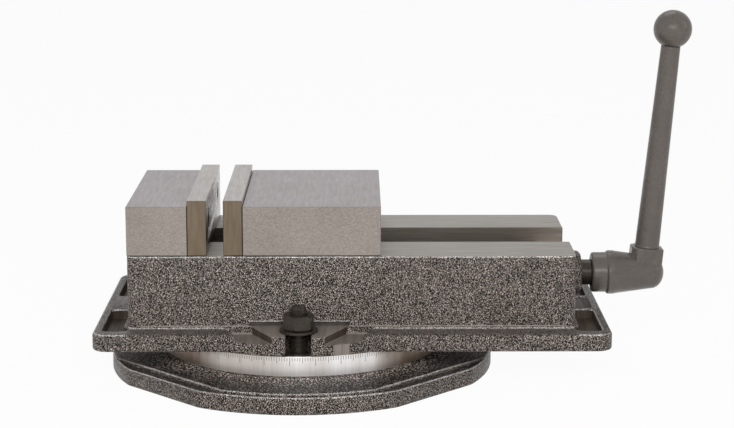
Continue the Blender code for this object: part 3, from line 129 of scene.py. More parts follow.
def as_mesh(name, shape):
    """Turn a bmesh into a mesh, and free it."""
    mesh = bpy.data.meshes.new(name)
    shape.to_mesh(mesh)
    shape.free()
    return mesh


def make_floor():
    """A flat floor, which belongs to the stage and not to the vise."""
    shape = bmesh.new()
    bmesh.ops.create_grid(shape, x_segments=1, y_segments=1, size=FLOOR_REACH)
    floor = placed("floor", as_mesh("floor", shape))
    floor.data.materials.append(pale_finish())
    print("floor size in m:", [round(size, 1) for size in floor.dimensions])


make_floor()

# %% World and lamps
DOME = 0.26
VISE = (0.03, 0.0, 0.06)


def make_world():
    """White to camera, glossy and transmission rays, and a plain dim dome for the rest."""
    world = bpy.data.worlds.new("studio")
    bpy.context.scene.world = world
    world.use_nodes = True
    tree = world.node_tree
    tree.nodes.clear()
    dome = joined(tree, "Background", {"Strength": DOME})
    white = joined(tree, "Background", {})
    mix = joined(tree, "MixShader", {0: seen_or_mirrored(tree), 1: dome, 2: white})
    tree.links.new(mix, tree.nodes.new("ShaderNodeOutputWorld").inputs["Surface"])


def soft_lamp(name, place, aim, width, height, power):
    """A soft box at place that faces aim."""
    data = bpy.data.lights.new(name, "AREA")
    data.shape = "RECTANGLE"
    data.size, data.size_y = width, height
    data.energy = power
    lamp = placed(name, data)
    lamp.location = place
    lamp.rotation_euler = (Vector(aim) - Vector(place)).to_track_quat("-Z", "Y").to_euler()
    return lamp


make_world()
key = soft_lamp("key", (0.05, -1.75, 0.95), VISE, 1.4, 0.5, 24.0)
key.visible_glossy = False
soft_lamp("sheen", (0.05, -1.75, 0.80), VISE, 1.4, 0.4, 5.5)
soft_lamp("left_fill", (-1.5, -0.3, 0.7), (0.0, 0.0, 0.08), 0.8, 0.8, 0.8)
soft_lamp("right_fill", (1.6, -0.3, 0.8), (0.1, 0.0, 0.1), 0.8, 0.8, 1.0)
soft_lamp("back_fill", (0.0, 1.2, 2.2), (0.0, 0.0, 0.05), 1.4, 0.9, 6.0)
bpy.context.scene.view_settings.view_transform = "Standard"
print("lamps:", [lamp.name for lamp in bpy.data.lights])

# %% [markdown]
# ## Shared sizes
# These sizes of the solid model serve more than one piece, in metres. The heights are those of the
# foot, deck, ring, flange, clamp pads and ground ways, from the table upwards.

# %% Heights, widths and stations
FOOT_TOP, DECK_TOP, RING_TOP = 0.0130, 0.0167, 0.0327
FLANGE_BOTTOM, FLANGE_TOP, PAD_TOP, WAYS = 0.0330, 0.0460, 0.0477, 0.1005
SCREW_Z = 0.0702
HALF_WIDTH, FLANGE_SIDE, BULGE = 0.0762, 0.0980, 0.1120
FLANGE_LEFT, FLANGE_RIGHT, BODY_LEFT, BODY_RIGHT = -0.1530, 0.2320, -0.1280, 0.2060
STUD_CIRCLE, RING_RADIUS = 0.0945, 0.1090
PIN_BORE = 0.0158
SIDES = (1, -1)
UP = Vector((0.0, 0.0, 1.0))
TINY = 1e-7
for node in ("base_casting", "bed_casting", "lead_screw", "handle_ball"):
    low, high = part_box(node)
    print(node, [round(1000 * v, 1) for v in low], [round(1000 * v, 1) for v in high])

# %% [markdown]
# ## Modelling helpers
# Nearly every piece here is a flat outline drawn up through a few heights, or a half section spun
# round an axis. Drawing up moves each corner out or in along the outline's own normal, so one
# outline gives a wall, a round edge or a fillet. Booleans then join and cut the shapes.


# %% Finish a mesh and hang it on its body
def open_edges(shape):
    """How many edges don't join exactly two faces."""
    return sum(1 for edge in shape.edges if len(edge.link_faces) != 2)


def faces_out(shape):
    """Turn every face of a closed shape outwards."""
    bmesh.ops.recalc_face_normals(shape, faces=shape.faces[:])
    return shape


def welded(shape, distance=TINY):
    """Join the corners that lie closer together than a distance."""
    bmesh.ops.remove_doubles(shape, verts=shape.verts[:], dist=distance)
    return shape


def say(name, shape):
    """Print what a shape has come to."""
    print(name, "faces:", len(shape.faces), "open edges:", open_edges(shape))


def add_piece(name, shape, materials, body, replaces=(), smooth=32.0):
    """Turn a bmesh into a piece: faces out, smooth where it is round, riding on its body."""
    bmesh.ops.dissolve_degenerate(welded(shape), edges=shape.edges[:], dist=TINY)
    say(name, faces_out(shape))
    mesh = as_mesh(name, shape)
    mesh.shade_smooth()
    mesh.set_sharp_from_angle(angle=radians(smooth))
    for material in materials:
        mesh.materials.append(material)
    piece = placed(name, mesh)
    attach(piece, body)
    if replaces:
        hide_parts(*replaces)


# %% Draw a flat outline up through heights
MITRE_LIMIT = 0.3


def next_cap(shape, cap, first):
    """Extrude the cap, and take away the old one unless it is the shape's own bottom."""
    made = bmesh.ops.extrude_face_region(shape, geom=[cap])["geom"]
    if not first:
        bmesh.ops.delete(shape, geom=[cap], context="FACES_ONLY")
    return [item for item in made if isinstance(item, bmesh.types.BMFace)][0]


def draw_up(shape, levels):
    """Carry the one flat face of shape through (offset, height) levels, and close it."""
    shape.normal_update()
    face = shape.faces[:][0]
    if face.normal.z < 0.0:
        bmesh.ops.reverse_faces(shape, faces=[face])
    start = shape.verts.layers.float_vector.new("start")
    outward = shape.verts.layers.float_vector.new("outward")
    for loop in face.loops:
        before = (loop.vert.co - loop.link_loop_prev.vert.co).cross(UP).normalized()
        after = (loop.link_loop_next.vert.co - loop.vert.co).cross(UP).normalized()
        middle = (before + after).normalized()
        loop.vert[start] = loop.vert.co
        loop.vert[outward] = middle / max(middle.dot(after), MITRE_LIMIT)
    for number, (offset, height) in enumerate(levels):
        if number:
            face = next_cap(shape, face, number == 1)
        for vert in face.verts:
            place = vert[start] + vert[outward] * offset
            vert.co = (place.x, place.y, height)
    return faces_out(shape)


def rounding(radius, height, steps=4, top=True):
    """Levels of a round edge: drawn in by radius at the top, or the same turned over."""
    turns = [pi / 2 * step / steps for step in range(steps + 1)]
    levels = [(radius * (cos(t) - 1), height - radius + radius * sin(t)) for t in turns]
    return levels if top else [(o, 2 * height - z) for o, z in reversed(levels)]


# %% Flat outlines to draw up
def bevel(shape, items, kind, offset, steps):
    """Round corners or edges."""
    bmesh.ops.bevel(
        shape, geom=items, affect=kind, offset=offset, offset_type="OFFSET",
        segments=steps, profile=0.5, material=-1,
    )


def rectangle(left, right, front, back, corner=0.0, steps=8):
    """One flat face between four sides, with its corners rounded by a vertex bevel."""
    shape = bmesh.new()
    place = Matrix.Translation(((left + right) / 2, (front + back) / 2, 0.0))
    size = Matrix.Diagonal(((right - left) / 2, (back - front) / 2, 1.0, 1.0))
    bmesh.ops.create_grid(shape, x_segments=1, y_segments=1, size=1.0, matrix=place @ size)
    if corner:
        bevel(shape, shape.verts[:], "VERTICES", corner, steps)
    return shape


def disc(radius, segments, x=0.0, y=0.0, turn=0.0):
    """One flat round or polygonal face."""
    shape = bmesh.new()
    place = Matrix.Translation((x, y, 0.0)) @ Matrix.Rotation(turn, 4, "Z")
    bmesh.ops.create_circle(shape, cap_ends=True, radius=radius, segments=segments, matrix=place)
    return shape


def sliced(shape, cuts):
    """Keep what lies behind each (point, direction) cut."""
    for point, direction in cuts:
        bmesh.ops.bisect_plane(
            shape, geom=shape.verts[:] + shape.edges[:] + shape.faces[:], dist=TINY,
            plane_co=(*point, 0.0), plane_no=(*direction, 0.0), clear_outer=True,
        )
    return shape


# %% Spin a half section
def turned(profile, segments=96, closed=False):
    """Spin (radius, height) points round Z by one full turn."""
    shape = bmesh.new()
    points = [shape.verts.new((radius, 0.0, height)) for radius, height in profile]
    edges = [shape.edges.new(pair) for pair in zip(points, points[1:])]
    if closed:
        edges.append(shape.edges.new((points[-1], points[0])))
    bmesh.ops.spin(
        shape, geom=points + edges, cent=(0.0, 0.0, 0.0), axis=UP,
        angle=2 * pi, steps=segments, use_merge=True, use_duplicate=False,
    )
    return faces_out(welded(shape))


def moved(shape, matrix):
    """Move a whole shape."""
    bmesh.ops.transform(shape, matrix=matrix, verts=shape.verts[:])
    return shape


def along_x(x=0.0):
    """The placement that lays a spun piece's axis along the screw's."""
    return Matrix.Translation((x, 0.0, SCREW_Z)) @ Matrix.Rotation(pi / 2, 4, "Y")


def box(low, high, edge=0.0):
    """A box between two corners, its edges rounded by edge."""
    low, high = Vector(low), Vector(high)
    shape = bmesh.new()
    place = Matrix.Translation((low + high) / 2) @ Matrix.Diagonal((high - low).to_4d())
    bmesh.ops.create_cube(shape, size=1.0, matrix=place)
    if edge:
        bevel(shape, shape.edges[:], "EDGES", edge, 3)
    return shape


# %% Gather shapes, join and cut
def together(shapes):
    """Several separate shapes as one bmesh."""
    gathered = bmesh.new()
    for shape in shapes:
        mesh = as_mesh("part", shape)
        gathered.from_mesh(mesh)
        bpy.data.meshes.remove(mesh)
    return gathered


def combined(shape, operation, tools):
    """One exact Boolean between shape and the gathered tools."""
    blank, tool = (
        placed(name, as_mesh(name, faces_out(source)))
        for name, source in (("blank", shape), ("tool", together(tools)))
    )
    modifier = blank.modifiers.new("both", "BOOLEAN")
    modifier.operation = operation
    modifier.solver = "EXACT"
    modifier.object = tool
    graph = bpy.context.evaluated_depsgraph_get()
    mesh = bpy.data.meshes.new_from_object(blank.evaluated_get(graph))
    result = bmesh.new()
    result.from_mesh(mesh)
    bpy.data.meshes.remove(mesh)
    for item in (blank, tool):
        mesh = item.data
        bpy.data.objects.remove(item)
        bpy.data.meshes.remove(mesh)
    return result


def cut(shape, tools):
    """The shape less the tools."""
    return combined(shape, "DIFFERENCE", tools)


def join(shape, tools):
    """The shape and the tools as one."""
    return combined(shape, "UNION", tools)

# %% [markdown]
# ## Finishes
# Each finish is one Principled shader whose colour, roughness and bump come from noise on the
# piece's own coordinates. They are in metres here, so a noise scale of 700 means a grain of about
# 1.4 mm. Noise keeps mostly between 0.3 and 0.7, so ramps and ranges run between these values.

# %% Helpers for finishes
NOISE_SPAN = (0.3, 0.7)
WHITE = (1.0, 1.0, 1.0)
EVEN = (1.0, 1.0, 1.0)


def new_finish(name, metallic, gloss=0.5):
    """A material, its tree of nodes, and a place to read the piece's own coordinates."""
    material = bpy.data.materials.new(name)
    material.use_nodes = True
    tree = material.node_tree
    inputs = tree.nodes["Principled BSDF"].inputs
    inputs["Metallic"].default_value = metallic
    inputs["Specular IOR Level"].default_value = gloss
    return material, tree, tree.nodes.new("ShaderNodeTexCoord").outputs["Object"]


def noise(tree, place, scale, detail, stretch=EVEN, roughness=0.5):
    """Noise on coordinates that are stretched, then turned off the faces' own directions."""
    turned = joined(tree, "Mapping", {
        "Vector": place, "Scale": stretch, "Rotation": (0.5, 0.8, 0.3),
    })
    return joined(tree, "TexNoise", {
        "Vector": turned, "Scale": scale, "Detail": detail, "Roughness": roughness,
    })


def ramp(tree, value, stops):
    """A colour ramp through (position, colour) stops."""
    node = tree.nodes.new("ShaderNodeValToRGB")
    elements = node.color_ramp.elements
    while len(elements) < len(stops):
        elements.new(0.5)
    for element, (position, colour) in zip(elements, stops):
        element.position = position
        element.color = (*colour, 1.0)
    tree.links.new(value, node.inputs[0])
    return node.outputs[0]


def two_tones(tree, value, dark, light):
    """A ramp from one colour to another over the span of noise."""
    return ramp(tree, value, list(zip(NOISE_SPAN, (dark, light))))


def spread(tree, value, low, high, span=NOISE_SPAN):
    """A value that runs through span, brought between low and high."""
    return joined(tree, "MapRange", {
        "Value": value, "From Min": span[0], "From Max": span[1], "To Min": low, "To Max": high,
    })


def multiplied(tree, first, second):
    """Two colours multiplied."""
    inputs = {"Factor": 1.0, "A": first, "B": second}
    return joined(tree, "Mix", inputs, "Result", data_type="RGBA", blend_type="MULTIPLY")


def finished(material, colour, roughness, height, relief, strength=0.5):
    """Join colour, roughness and height to the shader, the relief being in metres."""
    tree = material.node_tree
    bump = joined(tree, "Bump", {"Height": height, "Distance": relief, "Strength": strength})
    inputs = tree.nodes["Principled BSDF"].inputs
    for name, source in (("Base Color", colour), ("Roughness", roughness), ("Normal", bump)):
        tree.links.new(source, inputs[name])
    return material


# %% [markdown]
# The castings are painted in hammered enamel: dark grey, with light flecks under a millimetre wide.
# Four stops on one fine noise give the dark ground and the flecks, and they stay sharp from close
# by. Paler paint on the edges, rims and fillets is a painted highlight. On the deck the paint is
# coarser, with a painted reflection of the ring near its foot and painted shade further out and in
# the gutter. Where a mill has touched the castings they are smooth and dark, with faint cutter lines;
# in the pockets, on the pads' sides and in the recess under the boss they are darker still, as
# painted shade.

# %% Hammered and milled enamel
FLECK_STOPS = (0.43, 0.502, 0.560, 0.615)
WARM = ((1.0, 0.72, 0.56), (1.0, 0.74, 0.60), (1.0, 0.83, 0.73), (1.0, 0.88, 0.81))
HIGHLIGHT_WARMTH = ((1.0, 0.80, 0.66), (1.0, 0.90, 0.83), (1.0, 0.96, 0.93), (1.0, 0.98, 0.97))
# Distances from the middle over which the deck goes from a painted reflection of the ring to painted
# shade.
PAINTED_LIGHT_SPAN = (0.112, 0.130)


def hammered_enamel(name, tones, warmth=WARM, scale=1750.0, painted_light=None):
    """Dark enamel with light flecks. If painted_light is given, the tone is painted lighter near the
    middle and darker out across PAINTED_LIGHT_SPAN, as painted reflection and shade.
    """
    material, tree, place = new_finish(name, 0.0, 0.15)
    flecks = noise(tree, place, scale, 1.5, roughness=0.6)
    colour = ramp(tree, flecks, [
        (stop, tuple(level * part for part in warm))
        for stop, level, warm in zip(FLECK_STOPS, tones, warmth)
    ])
    clouds = two_tones(tree, noise(tree, place, 14.0, 2.0), (0.84, 0.82, 0.80), WHITE)
    colour = multiplied(tree, colour, clouds)
    if painted_light:
        away = joined(tree, "VectorMath", {0: place}, "Value", operation="LENGTH")
        # Painted reflection (1.1 near the middle) down to painted shade (the given factor) past the
        # span.
        colour = multiplied(tree, colour, spread(tree, away, 1.1, painted_light, PAINTED_LIGHT_SPAN))
    return finished(material, colour, spread(tree, flecks, 0.42, 0.28), flecks, 0.0002, 0.7)


def milled_enamel(name, dark, light, metallic=0.3, gloss=0.5):
    """Where the mill has touched the casting."""
    material, tree, place = new_finish(name, metallic, gloss)
    lines = noise(tree, place, 260.0, 2.0, (1.0, 0.08, 0.08))
    colour = two_tones(tree, lines, dark, light)
    return finished(material, colour, spread(tree, lines, 0.55, 0.42), lines, 0.0001, 0.4)


ENAMEL = hammered_enamel("hammered_enamel", (0.003, 0.012, 0.076, 0.680))
# Paler, whiter enamel on edges, rims, the fillet and the bead: a painted highlight where light would
# catch them.
EDGE_HIGHLIGHT = hammered_enamel("enamel_painted_highlight", (0.020, 0.240, 0.850, 1.000), HIGHLIGHT_WARMTH)
# The deck's enamel: lighter near the ring's foot as a painted reflection of the ring, much darker
# further out and in the gutter as painted shade.
DECK_SHADE_AND_REFLECTION = hammered_enamel("deck_enamel_painted_light", (0.002, 0.008, 0.120, 1.000), scale=800.0, painted_light=0.34)
MILLED = milled_enamel("milled_enamel", (0.200, 0.170, 0.150), (0.290, 0.252, 0.228))
# A much darker milled finish for the pockets, the pads' sides and the recess under the boss: painted
# shade.
MILLED_PAINTED_SHADE = milled_enamel("milled_painted_shade", (0.048, 0.036, 0.027), (0.084, 0.066, 0.051), 0.0, 0.12)
print("enamels:", ENAMEL.name, EDGE_HIGHLIGHT.name, DECK_SHADE_AND_REFLECTION.name, MILLED.name, MILLED_PAINTED_SHADE.name)

# %% [markdown]
# The jaws, the ways and the turned ring are bare steel and iron, with the fine lines that a wheel or
# a lathe leaves. Noise that is stretched along one axis draws them, so the same helper serves for
# every direction. Towards its two ends the ring is painted dark brown, as painted shade under the
# flange and painted reflection of dark surroundings.


# %% Bare steels
ALONG_X = (0.06, 1.0, 1.0)
ALONG_Y = (1.0, 0.1, 1.0)


def lined_steel(
    name, dark, light, roughness, stretch=EVEN,
    scale=420.0, stain_and_reflection=(0.90, 0.89, 0.87), cloud=EVEN, relief=0.00006,
):
    """Steel with lines drawn by stretched noise, clouded by a stain; on the ring the clouds are bands
    of painted reflection.
    """
    material, tree, place = new_finish(name, 1.0)
    lines = noise(tree, place, scale, 3.0, stretch, 0.6)
    clouds = two_tones(tree, noise(tree, place, 26.0, 3.0, cloud), stain_and_reflection, WHITE)
    colour = multiplied(tree, two_tones(tree, lines, dark, light), clouds)
    gloss = spread(tree, lines, roughness + 0.08, roughness - 0.06)
    return finished(material, colour, gloss, lines, relief)


GROUND = lined_steel("ground_ways", (0.31, 0.285, 0.26), (0.36, 0.335, 0.31), 0.40, ALONG_X)
JAW_SIDE = lined_steel(
    "ground_sides", (0.295, 0.262, 0.233), (0.43, 0.388, 0.357), 0.42, (0.5, 1.0, 1.0), 1100.0
)
# The lilac tint of the jaws' tops is a painted reflection; their grinding lines run along Y.
JAW_TOP_PAINTED_REFLECTION = lined_steel("ground_tops_painted_reflection", (0.37, 0.345, 0.355), (0.41, 0.38, 0.39), 0.40, ALONG_Y)
# The plates' ground lines are real; their paleness on faces and tops is painted light, as where light
# runs along the gap between the plates.
PLATE_FACE_PAINTED_LIGHT = lined_steel(
    "ground_plates_painted_light", (0.42, 0.395, 0.375), (0.51, 0.48, 0.46), 0.30, ALONG_Y, relief=0.00001
)
PLATE = lined_steel(
    "sawn_plate_ends", (0.196, 0.152, 0.107), (0.235, 0.186, 0.134), 0.45, (1.0, 1.0, 0.15)
)
SLIDE = lined_steel("machined_iron", (0.25, 0.22, 0.19), (0.45, 0.41, 0.37), 0.42, ALONG_X)
BRIGHT = lined_steel("bright_steel", (0.50, 0.49, 0.48), (0.62, 0.61, 0.60), 0.28)
BRONZE = lined_steel("bronze", (0.36, 0.21, 0.08), (0.50, 0.31, 0.13), 0.35)
# On the ring the clouds are stretched into brown vertical bands at random places: a painted reflection
# of dark bands round it.
SCALE_STEEL = lined_steel(
    "scale_steel", (0.88, 0.85, 0.84), (0.98, 0.96, 0.95), 0.38, (1.0, 1.0, 0.05),
    stain_and_reflection=(0.50, 0.44, 0.39), cloud=(1.0, 1.0, 0.1),
)


# %% Paint shade on the turned ring towards its two ends
# Past about 54 mm from the middle along X, the ring's colour is multiplied down to dark brown: painted
# shade and painted reflection.
RING_END_SHADE_STOPS = [(0.054, WHITE), (0.080, (0.32, 0.26, 0.21))]
tree = SCALE_STEEL.node_tree
place = tree.nodes["Texture Coordinate"].outputs["Object"]
along = joined(tree, "SeparateXYZ", {0: place}, "X")
away = joined(tree, "Math", {0: along}, operation="ABSOLUTE")
base_colour = tree.nodes["Principled BSDF"].inputs["Base Color"]
even_colour = base_colour.links[0].from_socket
tree.links.new(multiplied(tree, even_colour, ramp(tree, away, RING_END_SHADE_STOPS)), base_colour)
print("nodes in the ring's finish:", len(tree.nodes))

# %% [markdown]
# The clamps and the screw are black oxide, a thin dark skin on steel, and the crank has satin paint.
# Both are nearly even coats, so a fine mottle in colour, gloss and height is enough. The scale's
# engraved lines are filled with a dull dark ink.


# %% Black oxide, crank paint and ink
def dark_finish(name, dark, light, metallic, roughness, grain, relief=0.00008):
    """A dark coat with a fine mottle, worn a little here and there."""
    material, tree, place = new_finish(name, metallic)
    mottle = noise(tree, place, grain, 3.0, roughness=0.6)
    wear = noise(tree, place, 60.0, 3.0)
    shade = two_tones(tree, wear, (0.88, 0.86, 0.84), WHITE)
    colour = multiplied(tree, two_tones(tree, mottle, dark, light), shade)
    gloss = spread(tree, wear, roughness + 0.08, roughness - 0.07)
    return finished(material, colour, gloss, mottle, relief)


OXIDE = dark_finish("black_oxide", (0.023, 0.018, 0.014), (0.064, 0.051, 0.040), 0.5, 0.29, 900.0)
CRANK = dark_finish("crank_paint", (0.090, 0.077, 0.068), (0.135, 0.117, 0.105), 0.1, 0.28, 1100.0)
INK = dark_finish(
    "scale_ink", (0.020, 0.018, 0.016), (0.050, 0.045, 0.040), 0.0, 0.6, 1500.0, 0.00002
)
print("finishes:", len(bpy.data.materials))


# %% Give the faces of a casting their finishes
def paint_faces(shape, finishes, rules):
    """Give each face the first finish whose rule its middle and normal pass, or finishes[0]."""
    shape.normal_update()
    counts = {}
    for face in shape.faces:
        middle, normal = face.calc_center_median(), face.normal
        chosen = next((look for look, rule in rules if rule(middle, normal)), finishes[0])
        face.material_index = finishes.index(chosen)
        counts[chosen.name] = counts.get(chosen.name, 0) + 1
    print("faces by finish:", counts)
    return shape


def reach(middle):
    """How far a face's middle stands from the vertical axis through the base."""
    return hypot(middle.x, middle.y)


# %% [markdown]
# ## Swivel base
# The base is one casting: a round foot with four flats, a gutter behind its rim, a deck that rises
# to the turned ring, and the round T-slot in the ring's top. All of it is one flat disc carried up
# and inwards, so each level needs only a rule for the radius and one for the height at each angle.


# %% Radius rules for the foot and the deck
FOOT_FLAT, FOOT_ROUND = 0.1425, 0.1480
DECK_FLAT, DECK_END, DECK_SIDE = 0.1312, 0.1477, 0.1415
RIM_WIDTH, GUTTER_WIDTH, GUTTER_DEPTH = 0.0018, 0.002, 0.0016


def from_diagonal(angle):
    """The turn between an angle and the nearest diagonal."""
    return abs(angle % (pi / 2) - pi / 4)


def foot_radius(angle, inset=0.0):
    """The foot: a circle with a flat on each diagonal."""
    return min(FOOT_FLAT / cos(from_diagonal(angle)), FOOT_ROUND) - inset


def deck_radius(angle, inset=0.0):
    """The deck: reaching nearly to the foot's edge at the two ends, narrower at the sides."""
    end = abs(cos(angle)) > abs(sin(angle))
    return min(DECK_FLAT / cos(from_diagonal(angle)), DECK_END if end else DECK_SIDE) - inset


def gutter(angle):
    """How open the gutter is at an angle: 1 at the sides, 0 where the deck meets the rim."""
    room = foot_radius(angle, RIM_WIDTH) - deck_radius(angle)
    return min(max(room / GUTTER_WIDTH, 0.0), 1.0)


# %% Rules for the levels
def follow(outline, inset, height):
    """A level that follows the foot's or the deck's outline."""
    return lambda angle: outline(angle, inset), height


def rim(inset, drop, below=0.0):
    """A level of the rim, which ends where the deck covers it."""
    return (
        lambda angle: max(foot_radius(angle, inset), deck_radius(angle)),
        lambda angle: FOOT_TOP - below - drop * gutter(angle),
    )


def gutter_floor(angle):
    """The height of the gutter's floor at an angle."""
    return FOOT_TOP - GUTTER_DEPTH * gutter(angle)


# %% Carry a disc through the base's levels
THROAT_IN, THROAT_OUT, SLOT_IN, SLOT_OUT = 0.08725, 0.10175, 0.0835, 0.1055
SLOT_FLOOR, SLOT_ROOF = 0.0149, 0.0242
BASE_LEVELS = [
    follow(foot_radius, 0.0010, 0.0), follow(foot_radius, 0.0003, 0.0003), (foot_radius, 0.0010),
    (foot_radius, FOOT_TOP - 0.0008), rim(0.0003, 0.0, 0.0002), rim(0.0008, 0.0),
    rim(0.0014, 0.0), rim(RIM_WIDTH, 0.0004), rim(0.0020, 0.0014), rim(0.0024, GUTTER_DEPTH),
    (deck_radius, gutter_floor), (deck_radius, 0.0131), follow(deck_radius, 0.0003, 0.0137),
    follow(deck_radius, 0.0010, 0.0140), follow(deck_radius, 0.0030, 0.01415),
    (0.1200, 0.0160), (0.1105, DECK_TOP), (0.1094, 0.0170), (RING_RADIUS, 0.0176),
    (RING_RADIUS, 0.0320), (0.1088, 0.0325), (0.1083, RING_TOP), (0.1021, RING_TOP),
    (THROAT_OUT, 0.0323), (THROAT_OUT, SLOT_ROOF), (SLOT_OUT, SLOT_ROOF), (SLOT_OUT, SLOT_FLOOR),
    (SLOT_IN, SLOT_FLOOR), (SLOT_IN, SLOT_ROOF), (THROAT_IN, SLOT_ROOF), (THROAT_IN, 0.0323),
    (0.0869, RING_TOP), (0.0164, RING_TOP), (PIN_BORE, 0.0321), (PIN_BORE, DECK_TOP),
]


def at(rule, angle):
    """A level's radius or height at an angle, from its rule or number."""
    return rule(angle) if callable(rule) else rule


def base_blank():
    """The base without its slots and hollows."""
    shape = disc(1.0, 288)
    face = shape.faces[:][0]
    for number, (radius, height) in enumerate(BASE_LEVELS):
        if number:
            face = next_cap(shape, face, number == 1)
        for vert in face.verts:
            angle = atan2(vert.co.y, vert.co.x)
            place = Vector((cos(angle), sin(angle), 0.0)) * at(radius, angle)
            vert.co = (place.x, place.y, at(height, angle))
    bmesh.ops.dissolve_degenerate(shape, edges=shape.edges[:], dist=1e-6)
    return faces_out(shape)


blank = base_blank()
say("base blank", blank)


# %% Cut the slots and hollows of the base
CELL_IN, CELL_OUT, CELL_HALF_ANGLE, CELL_TOP = 0.036, 0.0775, 0.4531, 0.0227
RECESS_OUT, RECESS_TOP = 0.1365, 0.005
PAST_FOOT = 0.170
SEAT_HEIGHT = 0.0134


def cell(middle):
    """A hollow under the ring: a slice of a disc, less a smaller disc."""
    shape = disc(CELL_OUT, 96)
    for hand in SIDES:
        edge = middle + hand * CELL_HALF_ANGLE
        sliced(shape, [((0.0, 0.0), (-hand * sin(edge), hand * cos(edge)))])
    shape = draw_up(shape, [(0.0, -0.006), (0.0, CELL_TOP - 0.0006), (-0.0006, CELL_TOP)])
    core = draw_up(disc(CELL_IN, 48), [(0.0, -0.010), (0.0, 0.030)])
    return cut(shape, [core])


def clamp_slot(side):
    """The open slot for a table stud."""
    left, right = sorted((side * 0.124, side * PAST_FOOT))
    return draw_up(rectangle(left, right, -0.008, 0.008, 0.0079, 12), [(0.0, -0.008), (0.0, 0.033)])


def clamp_seat(side):
    """The flat that a clamp nut sits on."""
    left, right = sorted((side * 0.116, side * PAST_FOOT))
    return draw_up(rectangle(left, right, -0.021, 0.021, 0.003), [(0.0, SEAT_HEIGHT), (0.0, 0.033)])


def bolt_opening(side):
    """The opening under the base that lets a T-bolt into its slot."""
    left, right = sorted((side * SLOT_IN, side * SLOT_OUT))
    return box((left, -0.011, -0.0085), (right, 0.011, SLOT_FLOOR + 0.001))


cells = [cell(pi / 3 * (n + 0.5)) for n in range(6)]
corners = ((RING_RADIUS, -1), (RECESS_OUT, -1), (RECESS_OUT, 1), (RING_RADIUS, 1))
recess = turned([(radius, end * RECESS_TOP) for radius, end in corners], 144, True)
slots = [clamp_slot(side) for side in SIDES] + [bolt_opening(side) for side in SIDES]
base = cut(blank, cells + [recess])
base = cut(base, slots)
base = cut(base, [clamp_seat(side) for side in SIDES])
say("base", base)

# %% Finish the base
BASE_FINISHES = [ENAMEL, SCALE_STEEL, MILLED, EDGE_HIGHLIGHT, DECK_SHADE_AND_REFLECTION]
paint_faces(base, BASE_FINISHES, [
    (SCALE_STEEL, lambda m, n: m.z > 0.0177 and reach(m) < RING_RADIUS + 0.0002),
    (SCALE_STEEL, lambda m, n: m.z > SLOT_FLOOR - 0.0001 and reach(m) < SLOT_OUT + 0.0001),
    (MILLED, lambda m, n: abs(m.z - SEAT_HEIGHT) < 1e-5 and n.z > 0.9),
    # Painted highlight on the deck's rounded edge and on the foot's rim.
    (EDGE_HIGHLIGHT, lambda m, n: 0.0131 < m.z < 0.01408 and reach(m) > 0.12 and 0.3 < n.z < 0.99),
    (EDGE_HIGHLIGHT, lambda m, n: m.z > FOOT_TOP - 0.0009 and reach(m) > 0.141 and 0.2 < n.z < 0.98),
    # Painted reflection and painted shade on the deck and in the gutter.
    (DECK_SHADE_AND_REFLECTION, lambda m, n: FOOT_TOP - 0.0017 < m.z < DECK_TOP + 0.0005
     and 0.110 < reach(m) < 0.1465 and n.z > 0.5),
])
add_piece("base_cast", base, BASE_FINISHES, "base", ("base_casting",))

# %% [markdown]
# ## Degree scale
# The ring carries a line for each degree, longer at five and longest at ten, and the bed carries the
# line that is read against them. On the real ring they are fine engraved lines filled with dark ink.
# Each is a thin blade set into the ring, so they stay sharp from close by.

# %% Set the lines round the ring
LINE_TOP, LINE_WIDTH, LINE_RELIEF, LINE_DEPTH = 0.0319, 0.0003, 0.00003, 0.0002
TEN, FIVE, ONE = 0.0062, 0.0043, 0.0027
FIRST_LINE, ZERO_LINE = 6.65, 16.65


def tick(angle, radius, top, length, width):
    """One thin blade that stands just out of a round wall."""
    low = (-width / 2, -radius - LINE_RELIEF, top - length)
    high = (width / 2, LINE_DEPTH - radius, top)
    return moved(box(low, high), Matrix.Rotation(angle, 4, "Z"))


def scale_lines():
    """All 360 lines in one shape."""
    lines = []
    for degree in range(360):
        length = TEN if degree % 10 == 0 else FIVE if degree % 5 == 0 else ONE
        angle = radians(degree + FIRST_LINE)
        lines.append(tick(angle, RING_RADIUS, LINE_TOP, length, LINE_WIDTH))
    return together(lines)


add_piece("scale_lines", scale_lines(), [INK], "base")
zero_angle = radians(ZERO_LINE)
zero = [tick(zero_angle + turn, 0.1114, 0.0418, 0.0080, 0.00035) for turn in (0.0, pi)]
add_piece("zero_lines", together(zero), [INK], "bed")

# %% [markdown]
# ## Bed casting
# The bed starts as its flange: a rounded rectangle whose long sides swell softly out over the ring.
# The body stands on it with a fillet at its foot. Booleans then take away the end pockets, the
# scoops beside the clamp pads, the screw channel and the hollows under the ways. Faces in one plane
# confuse a Boolean, so each cut ends a little above or below the plane that it opens.


# %% Flange with its soft bulges
BULGE_SOFTNESS = 0.002
BULGE_TRIM = 0.00007


def side_reach(x):
    """How far the flange's side stands out at x, less what the soft change adds to it."""
    bulge = sqrt(max(BULGE**2 - x**2, 0.0))
    gap = bulge - FLANGE_SIDE
    return FLANGE_SIDE + (gap + sqrt(gap**2 + BULGE_SOFTNESS**2)) / 2 - BULGE_TRIM


